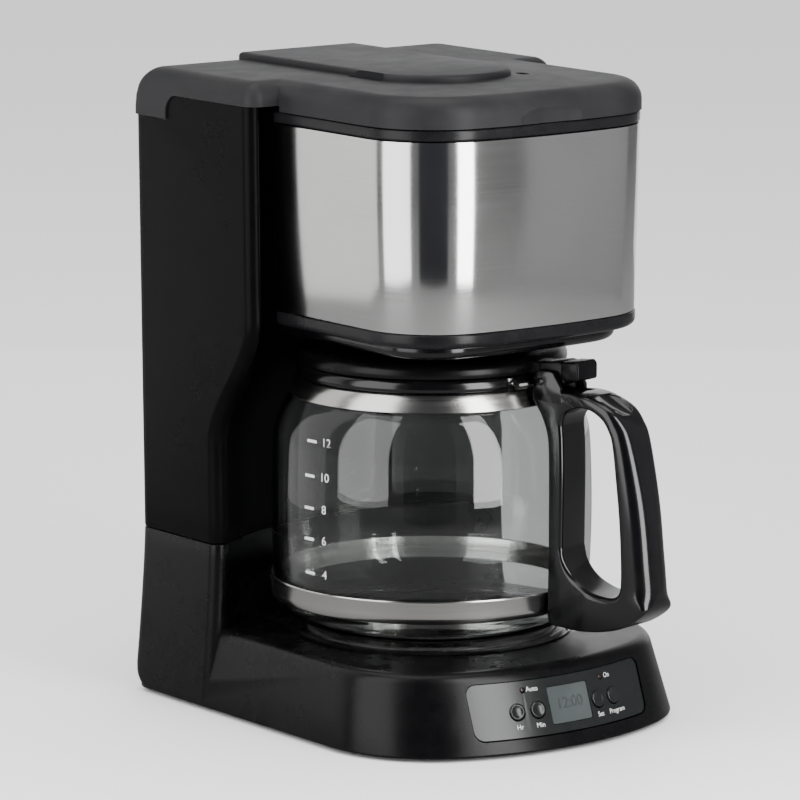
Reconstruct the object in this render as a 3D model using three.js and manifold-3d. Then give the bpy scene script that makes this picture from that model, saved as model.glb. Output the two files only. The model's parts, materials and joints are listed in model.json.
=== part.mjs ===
// Drip coffee maker with a 12-cup glass carafe, built as separate pieces.
// Units are millimetres, +Z is up, the front (control panel) faces -Y.
// The origin is on the table, under the middle of the whole machine.
import * as THREE from 'three';
import { mergeVertices } from 'three/addons/utils/BufferGeometryUtils.js';
import Module from 'manifold-3d';

const wasm = await Module();
wasm.setup();

// ---------------------------------------------------------------- driving sizes
const FRAME_SHIFT = 10; // the handle overhangs in front, so the housing sits this far back
const WALL = 2.5; // moulded plastic wall
const GAP = 0.3; // clearance between neighbouring pieces

const BASE = { half: 100.5, back: 124, front: -122.5, bow: 37, corner: 64, rear: 14 };
const SKIRT_Z = 2;
const PLATFORM_Z = 42;
const LEAN_SIDE = 8; // how far the platform walls lean in over their height
const LEAN_FRONT = 14;
const REAR_FLARE = 2.5; // the column's rear wall runs out this much at the floor
const FLARE_POWER = 1.3;

const COLUMN = { half: 95, back: 124, nose: 54.4, noseR: 6, wallY: 84, rear: 10 };
const SEAM_Z = 86; // split between base and tower
const TOWER_TOP = 313.3;
const TOWER_REAR_TOP = 300.7; // the lid's deep rear skirt comes down to here
const TOWER_FLARE = 2; // tower is this much wider per side at the top
const NOSE_TRAVEL = 34; // the front corners sweep this far forward under the head
const SWEEP_LOW = 138;
const SWEEP_HIGH = 205;

const HEAD = { half: 80.4, back: 86, front: -99.4, bow: 9.1, corner: 41.8, rear: 2 };
const HEAD_TAPER = 0.02; // the steel drum narrows towards its bottom
const HEAD_END_Y = 21.5; // the steel stops where the tower corner starts
const STEEL_TOP = 304.7;
const STEEL_BOTTOM = 209.8;
const RIM_TOP = 310.4;
const TRIM_BOTTOM = 202.2;
const FLOOR_BOTTOM = 195.3;

const LID_TOP = 326;
const TONGUE_TOP = 329.5;
const LID_OVERHANG = 1;
const LID_SIDE_Z = 313.7;
const LID_HEAD_Z = 310.8;
const LID_REAR_Z = 301.3;
const LID_REAR_Y = 90;
const HINGE_Y = 124;
const HINGE_Z = 301;

const AXIS_Y = -2.8; // vertical axis of carafe, plate and basket
const PLATE_R = 64;
const GLASS_Z = 44.7;
const HANDLE_TURN = THREE.MathUtils.degToRad(13);
const PIN = { r: 79.2, z: 179 }; // carafe lid hinge, in the handle's plane

const TANK_X = { left: -88, right: 70 };
const RISER_X = 82;

// ---------------------------------------------------------------- small tools
function tidy(geometry) {
  const bare = geometry.clone();
  bare.deleteAttribute('normal');
  bare.deleteAttribute('uv');
  const merged = mergeVertices(bare, 1e-4);
  const p = merged.attributes.position;
  const index = merged.index.array;
  const kept = [];
  let volume = 0;
  const a = new THREE.Vector3();
  const b = new THREE.Vector3();
  const c = new THREE.Vector3();
  for (let i = 0; i < index.length; i += 3) {
    const [i0, i1, i2] = [index[i], index[i + 1], index[i + 2]];
    if (i0 === i1 || i1 === i2 || i2 === i0) continue;
    kept.push(i0, i1, i2);
    a.fromBufferAttribute(p, i0);
    b.fromBufferAttribute(p, i1);
    c.fromBufferAttribute(p, i2);
    volume += a.dot(b.cross(c));
  }
  if (volume < 0) kept.reverse();
  return { points: new Float32Array(p.array), triangles: new Uint32Array(kept) };
}

function solid(geometry) {
  const { points, triangles } = tidy(geometry);
  return new wasm.Manifold(new wasm.Mesh({ numProp: 3, vertProperties: points, triVerts: triangles }));
}

function slab(shape, z0, z1, { steps = 1, segments = 6 } = {}) {
  const options = { depth: z1 - z0, steps, bevelEnabled: false, curveSegments: segments };
  const geometry = new THREE.ExtrudeGeometry(shape, options);
  return geometry.translate(0, 0, z0);
}

function roundedTop(plan, z0, top, radius, half, yLow, yHigh) {
  // an upright block whose top edge is rounded: the outline shrinks along a quarter circle
  const middle = (yLow + yHigh) / 2;
  const reach = (yHigh - yLow) / 2;
  const shrink = (x, y, z) => {
    const up = Math.min(Math.max(z - (top - radius), 0), radius);
    const inward = radius - Math.sqrt(radius * radius - up * up);
    return [x * (1 - inward / half), middle + (y - middle) * (1 - inward / reach)];
  };
  const crown = solid(reshape(slab(plan, top - radius, top, { steps: 3, segments: 4 }), shrink));
  return solid(slab(plan, z0, top - radius, { segments: 4 })).add(crown);
}

function turned(profile, segments = 36) {
  // profile: [radius, height] pairs, turned about the vertical axis
  const points = profile.map(([r, z]) => new THREE.Vector2(Math.max(r, 0), z));
  return new THREE.LatheGeometry(points, segments).rotateX(Math.PI / 2);
}

function ring(rIn, rOut, z0, z1, segments = 36) {
  return turned([[rIn, z0], [rOut, z0], [rOut, z1], [rIn, z1], [rIn, z0]], segments);
}

function disc(r, z0, z1, segments = 24) {
  return turned([[0, z0], [r, z0], [r, z1], [0, z1]], segments);
}

function box(x0, x1, y0, y1, z0, z1) {
  const geometry = new THREE.BoxGeometry(x1 - x0, y1 - y0, z1 - z0);
  return geometry.translate((x0 + x1) / 2, (y0 + y1) / 2, (z0 + z1) / 2);
}

function rod(from, to, r, segments = 20) {
  const a = new THREE.Vector3(...from);
  const b = new THREE.Vector3(...to);
  const geometry = new THREE.CylinderGeometry(r, r, a.distanceTo(b), segments);
  const turn = new THREE.Quaternion().setFromUnitVectors(
    new THREE.Vector3(0, 1, 0), b.clone().sub(a).normalize());
  geometry.applyQuaternion(turn);
  const middle = a.lerp(b, 0.5);
  return geometry.translate(middle.x, middle.y, middle.z);
}

function pipe(points, r, steps = 24, sides = 10, closed = false) {
  const curve = new THREE.CatmullRomCurve3(
    points.map((p) => new THREE.Vector3(...p)), closed, 'centripetal');
  const section = new THREE.Shape();
  for (let i = 0; i < sides; i += 1) {
    const angle = (i / sides) * 2 * Math.PI;
    const [x, y] = [r * Math.cos(angle), r * Math.sin(angle)];
    if (i === 0) section.moveTo(x, y);
    else section.lineTo(x, y);
  }
  section.closePath();
  return new THREE.ExtrudeGeometry(section, { steps, extrudePath: curve, bevelEnabled: false });
}

function moved(geometry, x, y, z) {
  return geometry.translate(x, y, z);
}

function reshape(geometry, rule) {
  // moves every vertex by rule(x, y, z) => [x, y]
  const p = geometry.attributes.position;
  for (let i = 0; i < p.count; i += 1) {
    const [x, y] = rule(p.getX(i), p.getY(i), p.getZ(i));
    p.setXY(i, x, y);
  }
  return geometry;
}

const machine = new THREE.Group();
machine.position.y = FRAME_SHIFT;

function addPart(name, body, material, parent = machine) {
  const result = body.getMesh();
  const geometry = new THREE.BufferGeometry();
  geometry.setAttribute('position', new THREE.BufferAttribute(new Float32Array(result.vertProperties), 3));
  geometry.setIndex(new THREE.BufferAttribute(new Uint32Array(result.triVerts), 1));
  geometry.computeVertexNormals();
  const mesh = new THREE.Mesh(geometry, material.clone());
  mesh.name = name;
  parent.add(mesh);
  return mesh;
}

// ---------------------------------------------------------------- finishes
const finish = (color, roughness, metalness = 0, extra = {}) =>
  new THREE.MeshStandardMaterial({ color, roughness, metalness, ...extra });
const HOUSING_BLACK = finish(0x17171a, 0.45);
const LID_BLACK = finish(0x2b2b2d, 0.6);
const GLOSS_BLACK = finish(0x0c0c0e, 0.18);
const STEEL = finish(0xb9b8b6, 0.22, 1);
const DARK_STEEL = finish(0x2d2c2e, 0.4, 0.7);
const GLASS = finish(0xdfe6e4, 0.05, 0, { transparent: true, opacity: 0.35 });
const RUBBER = finish(0x202020, 0.9);
const ALUMINIUM = finish(0xa9abad, 0.45, 0.9);
const SILICONE = finish(0xc9c6bd, 0.7);
const TANK_PLASTIC = finish(0x3a3b3e, 0.5);
const BOARD_GREEN = finish(0x1d4a2e, 0.6);
const DISPLAY = finish(0x6f7c78, 0.3);
const LAMP = finish(0x8d6f5c, 0.35);

// ---------------------------------------------------------------- outlines seen from above
function housePlan({ half, back, front, bow, corner, rear }, inset = 0) {
  // straight sides, rounded rear corners, large front corners that run into a bowed front
  const w = half - inset;
  const rearR = Math.max(rear - inset, 0.5);
  const cornerR = corner - inset;
  const backY = back - inset;
  const bowR = (half * half + bow * bow) / (2 * bow) - inset;
  const bowY = front + inset + bowR;
  const cornerY = bowY - Math.sqrt((bowR - cornerR) ** 2 - (w - cornerR) ** 2);
  const join = Math.atan2(bowY - cornerY, w - cornerR);
  const shape = new THREE.Shape();
  shape.moveTo(w, backY - rearR);
  shape.absarc(w - rearR, backY - rearR, rearR, 0, Math.PI / 2, false);
  shape.absarc(rearR - w, backY - rearR, rearR, Math.PI / 2, Math.PI, false);
  shape.absarc(cornerR - w, cornerY, cornerR, Math.PI, Math.PI + join, false);
  shape.absarc(0, bowY, bowR, Math.PI + join, 2 * Math.PI - join, false);
  shape.absarc(w - cornerR, cornerY, cornerR, 2 * Math.PI - join, 2 * Math.PI, false);
  return shape;
}

function columnPlan({ half, back, nose, noseR, wallY, rear }, inset = 0) {
  // rounded rear corners, bull-nosed front corners, hollow front wall around the carafe
  const noseX = half - noseR;
  const noseY = nose + noseR;
  const hollowR = (noseX ** 2 + (wallY - noseY) ** 2 - noseR ** 2) / (2 * (noseR + wallY - noseY));
  const hollowY = wallY - hollowR;
  const touch = Math.atan2(noseY - hollowY, noseX);
  const r = Math.max(noseR - inset, 0.5);
  const rearR = rear - inset;
  const shape = new THREE.Shape();
  shape.moveTo(half - inset, back - rear);
  shape.absarc(half - rear, back - rear, rearR, 0, Math.PI / 2, false);
  shape.absarc(rear - half, back - rear, rearR, Math.PI / 2, Math.PI, false);
  shape.absarc(-noseX, noseY, r, Math.PI, 2 * Math.PI - touch, false);
  shape.absarc(0, hollowY, hollowR + inset, Math.PI - touch, touch, true);
  shape.absarc(noseX, noseY, r, Math.PI + touch, 2 * Math.PI, false);
  return shape;
}

const smooth = (t) => {
  const s = Math.min(Math.max(t, 0), 1);
  return s * s * (3 - 2 * s);
};

function leanPlatform(x, y, z) {
  // the platform walls lean inwards with height; the rear wall stays upright
  const rise = (z - SKIRT_Z) / (PLATFORM_Z - SKIRT_Z);
  const scaleX = 1 - (LEAN_SIDE / BASE.half) * rise;
  const scaleY = 1 - (LEAN_FRONT / -BASE.front) * rise;
  return [x * scaleX, y < 0 ? y * scaleY : y];
}

function flareColumn(x, y, z) {
  // the rear column widens down to the base's own width, and its rear wall runs out a little
  const spread = Math.max((SEAM_Z - z) / (SEAM_Z - SKIRT_Z), 0) ** FLARE_POWER;
  const widened = x * (1 + ((BASE.half - COLUMN.half) / COLUMN.half) * spread);
  return [widened, y > COLUMN.back - COLUMN.rear - 1 ? y + REAR_FLARE * spread : y];
}

function sweepTower(x, y, z) {
  // the tower flares slightly with height and its front corners sweep forward under the head
  const widen = 1 + (TOWER_FLARE / COLUMN.half) * ((z - SEAM_Z) / (TOWER_TOP - SEAM_Z));
  const forward = NOSE_TRAVEL * smooth((z - SWEEP_LOW) / (SWEEP_HIGH - SWEEP_LOW));
  const share = Math.min((x / (COLUMN.half - COLUMN.noseR)) ** 2, 1);
  return [x * widen, y < 95 ? y - forward * share : y];
}

function taperHead(x, y, z) {
  const narrow = HEAD_TAPER * (STEEL_TOP - z);
  return [x * (1 - narrow / HEAD.half), y < 0 ? y * (1 - narrow / -HEAD.front) : y];
}

// ---------------------------------------------------------------- base
function frontY(x, z, inset = 0) {
  // Y of the bowed, leaning front face at a place across and up
  const rise = (z - SKIRT_Z) / (PLATFORM_Z - SKIRT_Z);
  const scaleX = 1 - (LEAN_SIDE / BASE.half) * rise;
  const scaleY = 1 - (LEAN_FRONT / -BASE.front) * rise;
  const bowR = (BASE.half ** 2 + BASE.bow ** 2) / (2 * BASE.bow);
  const bowY = BASE.front + bowR;
  return scaleY * (bowY - Math.sqrt(bowR ** 2 - (x / scaleX) ** 2)) + inset;
}

const platform = (inset, z0, z1) =>
  solid(reshape(slab(housePlan(BASE, inset), z0, z1, { segments: 5 }), leanPlatform));
const column = (inset, z0, z1) =>
  solid(reshape(slab(columnPlan(COLUMN, inset), z0, z1, { steps: 3, segments: 4 }), flareColumn));

const PANEL = { half: 54.5, low: 9, high: 36, recess: 0.8, depth: 3 };
const GLAND = { x: 62, z: 20, r: 6 };

function baseHousing() {
  const outside = platform(0, SKIRT_Z, PLATFORM_Z).add(column(0, SKIRT_Z, SEAM_Z));
  const inside = platform(WALL, SKIRT_Z - 1, PLATFORM_Z - WALL)
    .add(column(WALL, SKIRT_Z - 1, SEAM_Z + 1));
  const plateHole = solid(moved(disc(PLATE_R + 3.3, 30, 60, 36), 0, AXIS_Y, 0));
  const window = solid(box(-PANEL.half - GAP, PANEL.half + GAP, -130, -70, PANEL.low - GAP, PANEL.high + GAP));
  const glandHole = solid(rod([GLAND.x, 100, GLAND.z], [GLAND.x, 140, GLAND.z], GLAND.r + GAP));
  return outside.subtract(inside).subtract(plateHole).subtract(window).subtract(glandHole);
}

function bottomCover() {
  const plate = solid(slab(housePlan(BASE, WALL + 1), SKIRT_Z + 0.2, SKIRT_Z + 2.2, { segments: 4 }));
  return FOOT_PLACES.concat(SCREW_PLACES).reduce(
    (body, [x, y]) => body.subtract(solid(moved(disc(3.4, 0, 10, 16), x, y, 0))), plate);
}

const FOOT_PLACES = [[-68, -58], [68, -58], [-78, 100], [78, 100]];
const SCREW_PLACES = [[-50, -78], [50, -78], [-50, 104], [50, 104]];

addPart('base_housing', baseHousing(), HOUSING_BLACK);
addPart('bottom_cover', bottomCover(), HOUSING_BLACK);
FOOT_PLACES.forEach(([x, y], i) => {
  const pad = solid(disc(9, 0, SKIRT_Z - 0.1, 24)).add(solid(disc(3.1, 0, 7, 16)));
  addPart(`foot_${i + 1}`, pad.translate([x, y, 0]), RUBBER);
});
SCREW_PLACES.forEach(([x, y], i) => {
  const screw = solid(disc(2, SKIRT_Z + 0.4, 14, 12)).add(solid(disc(3.1, SKIRT_Z + 0.4, 4, 16)));
  addPart(`cover_screw_${i + 1}`, screw.translate([x, y, 0]), ALUMINIUM);
});
const gland = solid(rod([GLAND.x, 112, GLAND.z], [GLAND.x, 127, GLAND.z], GLAND.r))
  .subtract(solid(rod([GLAND.x, 100, GLAND.z], [GLAND.x, 140, GLAND.z], 3.4)));
addPart('cord_gland', gland, RUBBER);

// ---------------------------------------------------------------- warming plate and heater
const atAxis = (geometry) => solid(moved(geometry, 0, AXIS_Y, 0));

addPart('plate_ring', atAxis(turned([
  [PLATE_R + 0.4, 38.5], [PLATE_R + 3, 38.5], [PLATE_R + 3, PLATFORM_Z + GAP], [PLATE_R + 8, PLATFORM_Z + GAP],
  [PLATE_R + 6.5, PLATFORM_Z + 1.4], [PLATE_R + 0.4, PLATFORM_Z + 1.4], [PLATE_R + 0.4, 38.5]])), GLOSS_BLACK);
addPart('warming_plate', atAxis(turned([
  [0, 40], [PLATE_R - 3, 40], [PLATE_R, 41], [PLATE_R, 43], [PLATE_R - 2, 44.2], [PLATE_R - 6, 43.4], [0, 43.4]])),
DARK_STEEL);

const HEATER = { r: 45, tube: 5.5, z: 33.8, mouth: THREE.MathUtils.degToRad(55), endX: 28, endY: 52 };
const heaterPoints = [[-HEATER.endX, HEATER.endY, HEATER.z], [-HEATER.endX - 1.5, 40, HEATER.z]];
for (let i = 0; i <= 12; i += 1) {
  const angle = Math.PI / 2 + HEATER.mouth + (i / 12) * (2 * Math.PI - 2 * HEATER.mouth);
  heaterPoints.push([HEATER.r * Math.cos(angle), AXIS_Y + HEATER.r * Math.sin(angle), HEATER.z]);
}
heaterPoints.push([HEATER.endX + 1.5, 40, HEATER.z], [HEATER.endX, HEATER.endY, HEATER.z]);
addPart('heater_tube', solid(pipe(heaterPoints, HEATER.tube, 24, 8)), ALUMINIUM);
addPart('thermostat', atAxis(disc(7, 29, 39.6, 20)), ALUMINIUM);
addPart('thermal_fuse', solid(rod([20, AXIS_Y - 8, 36], [20, AXIS_Y + 12, 36], 2.5, 12)), SILICONE);

// ---------------------------------------------------------------- control panel
const LOWER = SKIRT_Z + 1;
function panelSkin(inset, depth, x0, x1, z0, z1) {
  // a piece of the leaning front wall, cut out between two widths and two heights
  const skin = platform(inset, LOWER, PLATFORM_Z - 1).subtract(platform(inset + depth, LOWER - 1, PLATFORM_Z));
  return skin.intersect(solid(box(x0, x1, -130, -80, z0, z1)));
}

function panelNormal(x, z) {
  const step = 0.5;
  const slopeX = (frontY(x + step, z) - frontY(x - step, z)) / (2 * step);
  const slopeZ = (frontY(x, z + step) - frontY(x, z - step)) / (2 * step);
  return new THREE.Vector3(slopeX, -1, slopeZ).normalize();
}

function stud(x, z, r, out, back) {
  // a round piece standing square to the panel face
  const normal = panelNormal(x, z);
  const face = new THREE.Vector3(x, frontY(x, z, PANEL.recess), z);
  const from = face.clone().addScaledVector(normal, -back);
  const to = face.clone().addScaledVector(normal, out);
  return rod(from.toArray(), to.toArray(), r, r > 3 ? 16 : 10);
}

const BUTTONS = [
  ['button_hour', -30.5], ['button_minute', -19], ['button_set', 19.5], ['button_program', 30.5]];
const BUTTON_Z = 21.5;
const BUTTON_R = 4.2;
const LAMPS = [['lamp_auto', -25.5], ['lamp_on', 24]];
const LAMP_Z = 31.5;
const LAMP_R = 1.3;
const SCREEN = { x0: -11.5, x1: 13.5, z0: 13.5, z1: 31 };

let panel = panelSkin(PANEL.recess, PANEL.depth, -PANEL.half, PANEL.half, PANEL.low, PANEL.high);
BUTTONS.forEach(([, x]) => { panel = panel.subtract(solid(stud(x, BUTTON_Z, BUTTON_R + GAP, 6, 8))); });
LAMPS.forEach(([, x]) => { panel = panel.subtract(solid(stud(x, LAMP_Z, LAMP_R + GAP, 6, 8))); });
panel = panel.subtract(solid(box(SCREEN.x0 - GAP, SCREEN.x1 + GAP, -130, -90, SCREEN.z0 - GAP, SCREEN.z1 + GAP)));
addPart('control_panel', panel, GLOSS_BLACK);
addPart('display_window',
  panelSkin(PANEL.recess + 0.4, 1.6, SCREEN.x0, SCREEN.x1, SCREEN.z0, SCREEN.z1), DISPLAY);
BUTTONS.forEach(([name, x]) => addPart(name, solid(stud(x, BUTTON_Z, BUTTON_R, 1, 5)), GLOSS_BLACK));
LAMPS.forEach(([name, x]) => addPart(name, solid(stud(x, LAMP_Z, LAMP_R, 0.3, 5)), LAMP));
const BOARD_Y = -92;
addPart('circuit_board', solid(box(-44, 44, BOARD_Y, BOARD_Y + 1.6, 8, 37)), BOARD_GREEN);

// ---------------------------------------------------------------- tower and head housing
function towerBody(inset, z0, z1) {
  // straight below and above, finely stepped where the front corners sweep forward
  const levels = [[z0, SWEEP_LOW, 1], [SWEEP_LOW, SWEEP_HIGH, 5], [SWEEP_HIGH, z1, 1]];
  return levels.map(([low, high, steps]) =>
    solid(reshape(slab(columnPlan(COLUMN, inset), low, high, { steps, segments: 4 }), sweepTower)))
    .reduce((body, block) => body.add(block));
}
const headBody = (inset, z0, z1) =>
  solid(reshape(slab(housePlan(HEAD, inset), z0, z1, { segments: 5 }), taperHead));
const behind = (y) => solid(box(-120, 120, y, 200, 0, 400));

const SHELL_INSET = 1.4; // the plastic head lies just inside the steel
const HEAD_FLOOR = 203;
const BASKET_HOLE = 52;
const KNUCKLE = { inner: 52, split: 61, outer: 70, r: 3 };

function mainHousing() {
  const tower = towerBody(0, SEAM_Z + GAP, TOWER_TOP);
  const head = headBody(SHELL_INSET, HEAD_FLOOR, STEEL_TOP);
  const towerHollow = towerBody(WALL, SEAM_Z - 1, TOWER_TOP + 1);
  const headHollow = headBody(SHELL_INSET + WALL, HEAD_FLOOR + WALL, TOWER_TOP + 1);
  const tankRoom = solid(box(-74, 74, 20, 118, HEAD_FLOOR + WALL, TOWER_TOP + 1));
  let body = tower.add(head).subtract(towerHollow).subtract(headHollow).subtract(tankRoom);
  body = body.subtract(atAxis(disc(BASKET_HOLE, 190, 215, 36)));
  body = body.subtract(solid(box(-120, 120, LID_REAR_Y - 0.4, 140, TOWER_REAR_TOP, 330)));
  for (const side of [-1, 1]) {
    const [x0, x1] = side < 0 ? [-KNUCKLE.split, -KNUCKLE.inner] : [KNUCKLE.inner, KNUCKLE.split];
    body = body.subtract(solid(box(x0 - GAP, x1 + GAP, 116, 140, HINGE_Z - KNUCKLE.r - 1, 330)));
    const barrel = solid(rod([side * (KNUCKLE.split + GAP), HINGE_Y, HINGE_Z],
      [side * KNUCKLE.outer, HINGE_Y, HINGE_Z], KNUCKLE.r));
    const web = solid(box(Math.min(side * (KNUCKLE.split + GAP), side * KNUCKLE.outer),
      Math.max(side * (KNUCKLE.split + GAP), side * KNUCKLE.outer), 121.6, HINGE_Y, 292, HINGE_Z));
    const bore = solid(rod([side * 50, HINGE_Y, HINGE_Z], [side * 72, HINGE_Y, HINGE_Z], 1.5, 12));
    body = body.add(barrel).add(web).subtract(bore);
  }
  return body;
}
addPart('main_housing', mainHousing(), HOUSING_BLACK);

const headBand = (inset, thick, z0, z1) =>
  headBody(inset, z0, z1).subtract(headBody(inset + thick, z0 - 1, z1 + 1)).subtract(behind(HEAD_END_Y));
addPart('steel_wrap', headBand(0, 1, STEEL_BOTTOM, STEEL_TOP - 0.3), STEEL);
addPart('head_rim', headBand(0, 6, STEEL_TOP + 0.3, RIM_TOP), HOUSING_BLACK);
addPart('lower_trim', headBand(-0.6, 1.7, TRIM_BOTTOM, STEEL_BOTTOM - 0.3), HOUSING_BLACK);
addPart('head_floor', headBody(10, FLOOR_BOTTOM, HEAD_FLOOR - GAP)
  .subtract(atAxis(disc(BASKET_HOLE, 190, 215, 36))).subtract(towerBody(-0.4, SEAM_Z, TOWER_TOP)), GLOSS_BLACK);

// ---------------------------------------------------------------- water path
const TANK_WALL = 2;
function tankBlock(inset, lift) {
  const { left, right } = TANK_X;
  const low = box(left + inset, right - inset, 89 + inset, 120.8 - inset, 100 + lift, 210);
  const high = box(left + inset, right - inset, 74 + inset, 120.8 - inset, 207 + lift, 297 + lift);
  return solid(low).add(solid(high));
}
const OUTLET = { x: -60, y: 104 };
const outletBoss = solid(moved(disc(6, 94, 101, 20), OUTLET.x, OUTLET.y, 0));
const outletBore = solid(moved(disc(3, 90, 110, 16), OUTLET.x, OUTLET.y, 0));
addPart('reservoir_tank',
  tankBlock(0, 0).add(outletBoss).subtract(tankBlock(TANK_WALL, TANK_WALL)).subtract(outletBore), TANK_PLASTIC);
const valveBody = solid(moved(disc(7.5, 76, 93.6, 20), OUTLET.x, OUTLET.y, 0));
addPart('check_valve', valveBody, SILICONE);
const hoseEnd = HEATER.endY + 1.6;
addPart('inlet_hose', solid(pipe([
  [OUTLET.x, OUTLET.y, 75.6], [OUTLET.x, OUTLET.y, 55], [OUTLET.x + 5, 94, 39], [-42, 74, HEATER.z],
  [-HEATER.endX - 2, 62, HEATER.z], [-HEATER.endX, hoseEnd, HEATER.z]], 4.2, 16, 8)), SILICONE);
addPart('riser_tube', solid(pipe([
  [HEATER.endX, hoseEnd, HEATER.z], [HEATER.endX + 3, 64, HEATER.z], [56, 84, HEATER.z + 1], [78, 96, 46],
  [RISER_X, 100, 70], [RISER_X, 100, 120], [RISER_X, 100, 180], [RISER_X, 99, 240], [RISER_X - 0.5, 90, 266],
  [RISER_X - 2, 80, 279], [RISER_X - 6, 70, 287], [62, 66.4, 290], [40, 66, 290], [20, 66, 290],
  [6, 66, 290.5]], 4, 32, 8)), SILICONE);

// ---------------------------------------------------------------- brew basket and drip valve
addPart('brew_basket', atAxis(turned([
  [5, 208], [42, 211], [46, 214], [60, 281], [65, 281], [65, 283.5], [57.8, 283.5], [44.2, 216.2], [41, 213.4],
  [13, 211.2], [5, 210.6], [5, 208]], 28)).add(atAxis(ring(11, 13, 198.2, 209, 28))), HOUSING_BLACK);
addPart('drip_valve', atAxis(turned([
  [0, 191], [6, 191], [6, 193.6], [2.2, 194.2], [2.2, 211.9], [6.4, 211.9], [6.4, 213.6], [0, 213.6]], 24)),
GLOSS_BLACK);
addPart('valve_seal', atAxis(ring(2.4, 8, 210.9, 211.6, 24)), SILICONE);
const springPoints = [];
for (let i = 0; i <= 40; i += 1) {
  const angle = (i / 40) * 3.5 * 2 * Math.PI;
  springPoints.push([3.8 * Math.cos(angle), AXIS_Y + 3.8 * Math.sin(angle), 195.4 + (i / 40) * 7]);
}
addPart('valve_spring', solid(pipe(springPoints, 0.6, 42, 5)), STEEL);

// ---------------------------------------------------------------- lid over tower and head
const LID_SHOULDER = 9;
function lidBlock(inset, top) {
  const rearHalf = COLUMN.half + TOWER_FLARE + LID_OVERHANG;
  const rear = { half: rearHalf, back: HINGE_Y + 2, front: 16, bow: 1.5, corner: 9, rear: 12 };
  const head = { ...HEAD, half: HEAD.half + 0.6, front: HEAD.front - 0.6, back: 100 };
  const radius = LID_SHOULDER - inset;
  const rearSolid = roundedTop(housePlan(rear, inset), 280, top, radius, rear.half, rear.front, rear.back);
  const headSolid = roundedTop(housePlan(head, inset), 280, top, radius, head.half, head.front, 150);
  return rearSolid.add(headSolid);
}

const TONGUE = { half: 37, r: 40, y: AXIS_Y, start: 112 };
function lidBody() {
  let shell = lidBlock(0, LID_TOP).subtract(lidBlock(WALL, LID_TOP - WALL));
  const under = solid(box(-120, 120, -130, LID_REAR_Y, 200, LID_SIDE_Z));
  const headKeep = solid(box(-120, 120, -130, 16, LID_HEAD_Z, 330));
  const underHead = solid(box(-120, 120, -130, 17, 200, LID_HEAD_Z));
  const sides = shell.subtract(solid(box(-120, 120, -130, 130, 200, LID_REAR_Z)));
  const headPart = sides.intersect(headKeep).subtract(underHead);
  const rearPart = sides.subtract(solid(box(-120, 120, -130, 16, 200, 330))).subtract(under);
  shell = headPart.add(rearPart);
  const disk = solid(moved(disc(TONGUE.r, LID_TOP - 1, TONGUE_TOP, 36), 0, TONGUE.y, 0));
  const strip = solid(box(-TONGUE.half, TONGUE.half, TONGUE.y, TONGUE.start, LID_TOP - 1, TONGUE_TOP));
  shell = shell.add(disk).add(strip);
  for (const side of [-1, 1]) {
    const x0 = side < 0 ? -KNUCKLE.split : KNUCKLE.inner;
    const x1 = side < 0 ? -KNUCKLE.inner : KNUCKLE.split;
    const barrel = solid(rod([x0, HINGE_Y, HINGE_Z], [x1, HINGE_Y, HINGE_Z], KNUCKLE.r));
    const web = solid(box(x0, x1, 121.4, HINGE_Y + 2, HINGE_Z, 312));
    const bore = solid(rod([side * 45, HINGE_Y, HINGE_Z], [side * 75, HINGE_Y, HINGE_Z], 1.5, 12));
    const relief = solid(box(side < 0 ? -KNUCKLE.outer - GAP : KNUCKLE.split,
      side < 0 ? -KNUCKLE.split : KNUCKLE.outer + GAP, 119, 130, 290, HINGE_Z + KNUCKLE.r + 0.6));
    const vent = solid(moved(disc(3.2, 300, 340, 16), side * (TONGUE.r + 1.5), TONGUE.y - 8, 0));
    shell = shell.add(barrel).add(web).subtract(bore).subtract(relief).subtract(vent);
  }
  const dip = solid(new THREE.SphereGeometry(30, 32, 20).translate(0, HEAD.front - 27.2, LID_HEAD_Z - 15));
  return shell.subtract(dip);
}
addPart('lid', lidBody(), LID_BLACK);
for (const [name, side] of [['hinge_pin_left', -1], ['hinge_pin_right', 1]]) {
  addPart(name, solid(rod([side * 52.5, HINGE_Y, HINGE_Z], [side * 69.5, HINGE_Y, HINGE_Z], 1.2, 12)), STEEL);
}
const SHOWER = { r: 38, low: 303.6, high: 309, posts: [[28, 20], [-28, 20], [0, -30]] };
function showerHead() {
  let body = atAxis(disc(SHOWER.r, SHOWER.low, SHOWER.high, 36))
    .add(solid(box(-9, 9, AXIS_Y + 30, 71, SHOWER.low, SHOWER.high)));
  for (const [x, y] of SHOWER.posts) {
    body = body.add(solid(disc(3.5, SHOWER.high - 1, LID_TOP - WALL - GAP, 12)).translate([x, y + AXIS_Y, 0]));
  }
  for (let i = 0; i < 6; i += 1) {
    const angle = (i / 6) * 2 * Math.PI;
    const hole = atAxis(disc(2.5, 295, 315, 10)).translate([20 * Math.cos(angle), 20 * Math.sin(angle), 0]);
    body = body.subtract(hole);
  }
  return body;
}
addPart('shower_head', showerHead(), HOUSING_BLACK);

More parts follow.
